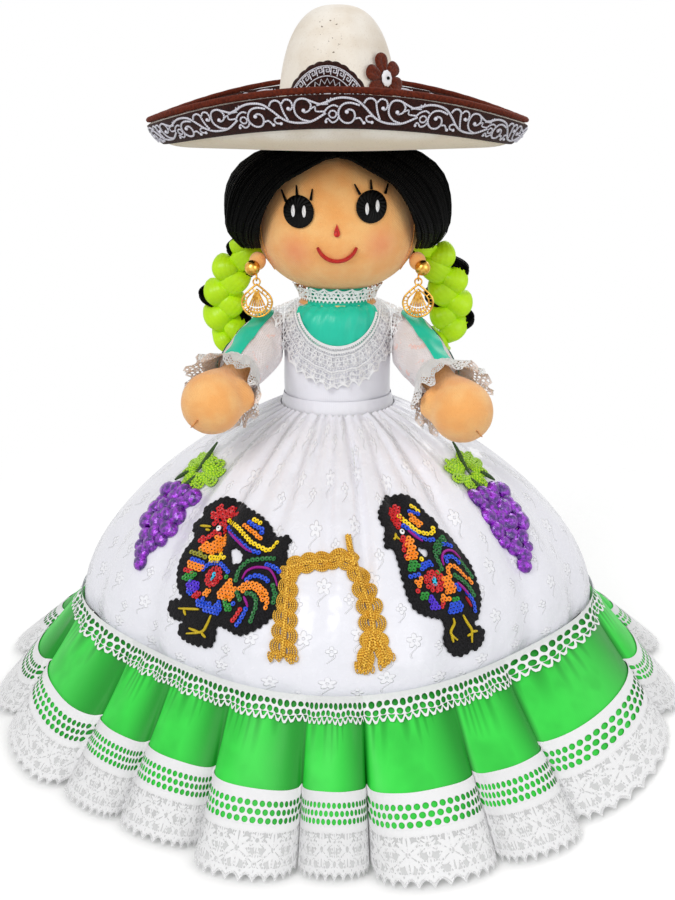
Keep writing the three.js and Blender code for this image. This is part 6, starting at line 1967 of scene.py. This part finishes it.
def sewn_bird(side_name, bird):
    middle = bird["middle"]
    spots = []
    for colour, outline in bird["fills"]:
        spots += [(colour, x, y) for x, y in spread(outline, 2.15, 0.1)]
    for colour, line in bird["rows"]:
        spots += [(colour, x, y) for x, y in strung(line, 2.1)]
    fx, fy = bird["flower"]
    spots += [(SKY, fx, fy + 1.1), (SKY, fx, fy - 1.1)]
    for radius, count in ((2.9, 7), (5.0, 12)):
        for k in range(count):
            turn = 2 * math.pi * (k + 0.5 * (count % 2)) / count
            spots.append((RED, fx + radius * math.cos(turn), fy + radius * math.sin(turn)))
    ex, ey = bird["eye"]
    spots = [spot for spot in spots if math.hypot(spot[1] - ex, spot[2] - ey) > 2.6]

    backing = bmesh.new()
    wavy = strung(bird["felt"] + bird["felt"][:1], 3.3)
    for x, y in spread(bird["felt"], 2.0, 1.0) + wavy:
        if any(inside_outline(x, y, hole) or gap_to(x, y, hole) < 1.1 for hole in bird["holes"]):
            continue
        here = skirt_frame(middle, x, y, FELT_PATCH / 2 + 0.15) @ Matrix.Diagonal((1, 1, 0.3, 1))
        bmesh.ops.create_icosphere(backing, subdivisions=2, radius=2.05 * MM, matrix=here)
    mesh = bpy.data.meshes.new("backing")
    backing.to_mesh(mesh)
    backing.free()
    whole = bpy.data.objects.new("backing", mesh)
    link(whole)
    remesh = whole.modifiers.new("one sheet", "REMESH")
    remesh.mode, remesh.voxel_size = "VOXEL", 0.55 * MM
    sheet = bmesh.new()
    sheet.from_mesh(baked(whole))
    bpy.data.objects.remove(whole)
    patch = piece_of("bird_felt_" + side_name, evened(sheet), black_felt, "trunk",
                     stands_for=["rooster_" + side_name])

    foils = bmesh.new()
    top = FELT_PATCH + 0.15
    for colour, x, y in spots:
        lean = [sequin_dice.uniform(-0.16, 0.16) for _ in range(2)]
        cup = cups[colour].copy()
        cup.transform(skirt_frame(middle, x + lean[0], y + lean[1], top + abs(lean[0]), lean))
        foils.from_mesh(cup)
        bpy.data.meshes.remove(cup)
    piece_of("bird_sequins_" + side_name, foils, foil, "trunk", smooth=False)

    threads = bmesh.new()
    for colour, line in bird["stitches"]:
        path = [on_skirt(middle, x, y, top + 0.35) for x, y in strung(line, 0.8)]
        merge(threads, shaded(tube(bmesh.new(), path, stitch_radius, sides=8), colour))
    piece_of("bird_stitches_" + side_name, threads, stitch_silk, "trunk")

    eye = bmesh.new()
    for radius, lift, colour in ((1.5, 0.55, (1, 1, 1, 1)), (0.72, 0.95, (0.002, 0.002, 0.003, 1))):
        bead = bmesh.new()
        here = skirt_frame(middle, ex, ey, top + lift) @ Matrix.Diagonal((0.85, 1.1, 0.4, 1))
        bmesh.ops.create_uvsphere(bead, u_segments=24, v_segments=12, radius=radius * MM, matrix=here)
        merge(eye, shaded(bead, colour))
    piece_of("bird_eye_" + side_name, eye, foil, "trunk")
    return len(spots), len(patch.data.polygons)


stitch_silk = Finish("stitching silk", "sequins", Specular_IOR_Level=0.5)
silk_shade = stitch_silk.node("Attribute", {"attribute_name": "shade"}, out="Color")
silk_v = stitch_silk.across()[1]
silk_strands = (silk_v * 9000).sin() * 0.5 + 0.5
stitch_silk.set(Base_Color=stitch_silk.mix(silk_strands * 0.5, silk_shade, (0.02, 0.01, 0.03, 1)))
stitch_silk.set(Roughness=0.35 + 0.3 * silk_strands)
stitch_silk.bump(silk_strands, 0.0003)
for side_name, bird in (("left", LEFT_BIRD), ("right", RIGHT_BIRD)):
    print(side_name, "bird: sequins and felt faces", sewn_bird(side_name, bird))

# %% [markdown]
# ### Grapes and leaves
# Each grape is a padded oval covered with crumpled purple foil cloth, so it is a ball with flat facets. The
# leaves are crocheted: every lobe is two loops of cord, one inside the other, with a rib down the middle.

# %% Grapes
grape_foil = Finish("purple foil cloth", "grape", Metallic=0.45, Specular_IOR_Level=0.7, Coat_Weight=0.6,
                    Coat_Roughness=0.1)
crumple = grape_foil.noise(0.0028, 3)
fine_crumple = grape_foil.noise(0.0009, 2)
grape_foil.set(Base_Color=grape_foil.mix(crumple.ramp(0.35, 0.68), ink("#38006a"), ink("#9a12cc")))
grape_foil.set(Roughness=0.16 + 0.22 * fine_crumple)
grape_foil.bump(crumple * 0.75 + fine_crumple * 0.25, 0.0012, 0.9)

# each grape on the doll's right skirt side: across, up and radius in mm, before it is mirrored for the other
GRAPES = [
    (-19, 18.5, 4.2), (-12.5, 22.5, 3.6), (-4, 24, 3.9), (4, 24, 4.2), (-7.5, 18.5, 3.7), (-16, 12, 3.3),
    (-17, 6.5, 3.8), (-9.5, 11, 4.2), (-2.5, 15, 3.6), (1.5, 19, 3.4), (-15, -1, 4.6), (-6.5, 2.5, 4.3), (-3, 8.5, 3.9),
    (4, 11, 4.4), (5, 2.5, 4.3), (-8, -8, 3.7), (-2.5, -3.5, 3.6), (0, -10, 4.1), (5, -5, 3.3), (-8, -14.5, 2.7),
    (-2.5, -17, 3.8), (0.5, -22, 3.5), (-1.5, 3, 3.2),
]
grape_dice = random.Random(5)


def grape_bunch(side_name, middle, mirror):
    bm = bmesh.new()
    for x, y, radius in GRAPES:
        turned_by = Matrix.Rotation(grape_dice.uniform(0, 3), 4, "Z")
        here = skirt_frame(middle, mirror * x * 0.93, y, 1.1) @ turned_by @ Matrix.Diagonal((1, 1.12, 0.72, 1))
        ball_mesh = bmesh.new()
        bmesh.ops.create_icosphere(ball_mesh, subdivisions=3, radius=1.22 * radius * MM)
        for vert in ball_mesh.verts:
            vert.co *= 1 + 0.045 * math.sin(vert.co.x * 2300 + radius * 9) * math.cos(vert.co.y * 1900 + x)
        ball_mesh.transform(here)
        merge(bm, ball_mesh)
    piece_of("grape_bunch_" + side_name, bm, grape_foil, "trunk", smooth=False, stands_for=["grapes_" + side_name])


# %% Leaves
crochet = twisted("lime crochet cotton", "leaf", 4200, 1200, "#86c800", "#c8f22a", 0.0004, Roughness=0.6,
                  Sheen_Weight=0.3, Specular_IOR_Level=0.35)
stem_cotton = twisted("dark green cotton", "leaf", 4200, 900, "#16300e", "#3c5f1c", relief=0, Roughness=0.7)
LEAF_WIDTH = 0.85  # how much narrower than drawn the leaves are sewn on

# each lobe: where it starts and where its tip is, in mm
LOBES = [
    ((-10, -2), (-25, 2)), ((-12, -4), (-27, -5)), ((-12, -5), (-21, -13)), ((-8, -3), (-5.5, 6)), ((-9, 1), (-16, 6)),
    ((-5, -4), (2, 7)), ((-4, -4), (9, 2.5)), ((-4, -6), (11, -6)), ((-5, -7), (2, -13)), ((-7, -7), (-3, -17)),
    ((-10, -7), (-12, -18)),
]
STEMS = [
    [(-16, 13), (-12, 6), (-9, 0), (-7, -8)], [(-14, -9), (-18, -14), (-21, -19)], [(-5, -8), (-6, -14), (-8, -20)],
]


def leaf_cluster(side_name, middle, mirror):
    bm, green_stem = bmesh.new(), bmesh.new()
    for number, (root, tip) in enumerate(LOBES):
        length = math.dist(root, tip)
        start = Vector((*root, 0))
        along = (Vector((*tip, 0)) - start) / length
        across = Vector((-along.y, along.x, 0))
        for size, lift in ((1.0, 1.0), (0.66, 1.8), (0.34, 2.3)):
            path = []
            for k in range(28):
                turn = 2 * math.pi * k / 28
                far = length * (0.12 * (1 - size) + (0.5 - 0.5 * math.cos(turn)) * (0.25 + 0.75 * size))
                wide = 3.5 * size * math.sin(turn) * (0.75 - 0.25 * math.cos(turn))
                spot = start + along * far + across * wide
                path.append(on_skirt(middle, mirror * spot.x * LEAF_WIDTH, spot.y, lift + 0.35 * (number % 3)))
            tube(bm, path, 0.72 * MM, sides=7, closed=True)
        rib = [start + along * length * t / 6 for t in range(7)]
        tube(bm, [on_skirt(middle, mirror * p.x * LEAF_WIDTH, p.y, 1.6) for p in rib], 0.7 * MM, sides=7)
    for line in STEMS:
        path = [on_skirt(middle, mirror * x * LEAF_WIDTH, y, 2.6) for x, y in strung(line, 1.0)]
        tube(green_stem, path, lambda t: (0.5 + 0.75 * math.sin(math.pi * t)) * MM, sides=8)
    piece_of("crocheted_leaves_" + side_name, bm, crochet, "trunk", stands_for=["grape_leaves_" + side_name])
    piece_of("leaf_stems_" + side_name, green_stem, stem_cotton, "trunk")


for side_name, mirror, grape_middle, leaf_middle in (("left", 1, (-59, 0.5), (-58, 0.275)),
                                                     ("right", -1, (56, 0.49), (55, 0.265))):
    grape_bunch(side_name, grape_middle, mirror)
    leaf_cluster(side_name, leaf_middle, mirror)
print(len(GRAPES), "grapes and", len(LOBES), "lobes on each side")

# %% [markdown]
# ### Gold galloon
# Galloon is braided on a machine: a plait runs down its middle, and on both sides cords swing out and back in
# scallops. The three lengths here frame an arch, and their cut ends have come undone into loops.

# %% Galloon
braid = twisted("gold braid", "gold_braid", 5200, 1900, "#c98a14", "#ffd04c", rough=(0.30, 0.25), Metallic=0.3,
                Specular_IOR_Level=0.6)

ARCH_MIDDLE = (-4, 0.56)
CORD, PLAIT_LENGTH = 0.46, 4.2


def galloon(name, line, width, pitch, node, frayed):
    """line is drawn in mm round the arch's middle; width(t) is the galloon's full width there."""
    fine = smooth_path([(x, y, 0) for x, y in line], 160)
    lengths = [0.0]
    for a, b in zip(fine, fine[1:]):
        lengths.append(lengths[-1] + (b - a).length)
    whole = lengths[-1]
    steps = lengthways(fine)

    def spot(along, across, lift):
        along = min(whole, max(0, along))
        k = min(158, next((i for i in range(159) if lengths[i + 1] >= along), 158))
        share = (along - lengths[k]) / max(1e-9, lengths[k + 1] - lengths[k])
        here = fine[k] + (fine[k + 1] - fine[k]) * share
        side = Vector((-steps[k].y, steps[k].x, 0))
        return on_skirt(ARCH_MIDDLE, here.x + side.x * across, here.y + side.y * across, lift)

    bm = bmesh.new()
    count = max(2, round(whole / pitch))
    for number in range(count):
        middle = whole * (number + 0.5) / count
        half = width(middle / whole) / 2
        for side in (-1, 1):
            for ring, lift in ((1.0, 0.9), (0.8, 1.2), (0.6, 1.0), (0.4, 1.3)):
                path = []
                for k in range(15):
                    turn = math.pi * k / 14
                    along = middle + side * 0.12 * pitch - math.cos(turn) * pitch * (0.22 + 0.34 * ring)
                    path.append(spot(along, side * (0.4 + (half - 0.4) * ring * math.sin(turn) ** 0.8), lift))
                tube(bm, path, CORD * MM, sides=6)
    points = int(whole * 4)
    for phase in (0, 2 * math.pi / 3, 4 * math.pi / 3):
        path = []
        for k in range(points):
            along = whole * k / (points - 1)
            turn = along * 2 * math.pi / PLAIT_LENGTH + phase
            path.append(spot(along, 1.25 * math.sin(turn), 1.9 + 0.45 * math.cos(2 * turn)))
        tube(bm, path, CORD * 1.05 * MM, sides=6)
    if frayed:
        loose = random.Random(len(name))
        half = width(1) / 2
        for k in range(11):
            reach, swing = loose.uniform(2.5, 6), loose.uniform(-1.5, 1.5)
            path = []
            end = fine[-1] + Vector((-steps[-1].y, steps[-1].x, 0)) * (-half + 2 * half * k / 10)
            for q in range(17):
                turn = 2 * math.pi * q / 16
                x = end.x + swing * math.sin(turn / 2) + 0.9 * math.sin(turn)
                y = end.y + 1.5 - reach * (0.5 - 0.5 * math.cos(turn))
                path.append(on_skirt(ARCH_MIDDLE, x, y, 1.0 + loose.uniform(0, 0.5)))
            tube(bm, path, CORD * 0.8 * MM, sides=6)
    piece_of(name, bm, braid, "trunk", stands_for=[node] if node else ())
    return round(whole)


lengths_made = [
    galloon("galloon_left", [(-17, 7), (-16.8, -4.5), (-17, -15.5), (-17, -26), (-17.5, -39)],
            lambda t: 9.5 + 5.0 * t, 8.2, "arch_left", True),
    galloon("galloon_right", [(17.5, 8), (22, -3.5), (25.5, -14.5), (27.5, -25.5), (28.5, -35)],
            lambda t: 10.5 + 4.0 * t, 8.4, "arch_right", False),
    galloon("galloon_right_inner_end", [(27.0, -26), (25.0, -35), (23, -43)], lambda t: 8.5, 8.0, None, True),
    galloon("galloon_right_outer_end", [(29, -28), (32, -34), (34, -40)], lambda t: 7.5, 7.0, None, True),
    galloon("galloon_top", [(-17, 6), (-12, 8), (-1.5, 11), (9, 12.5), (17, 9)],
            lambda t: 10.5, 7.6, "arch_top", False),
    galloon("galloon_spike", [(17, 8), (14.2, 17), (12.6, 25)], lambda t: 3.6 - 2.2 * t, 4.2, None, False),
]
print("galloon, in mm:", lengths_made)
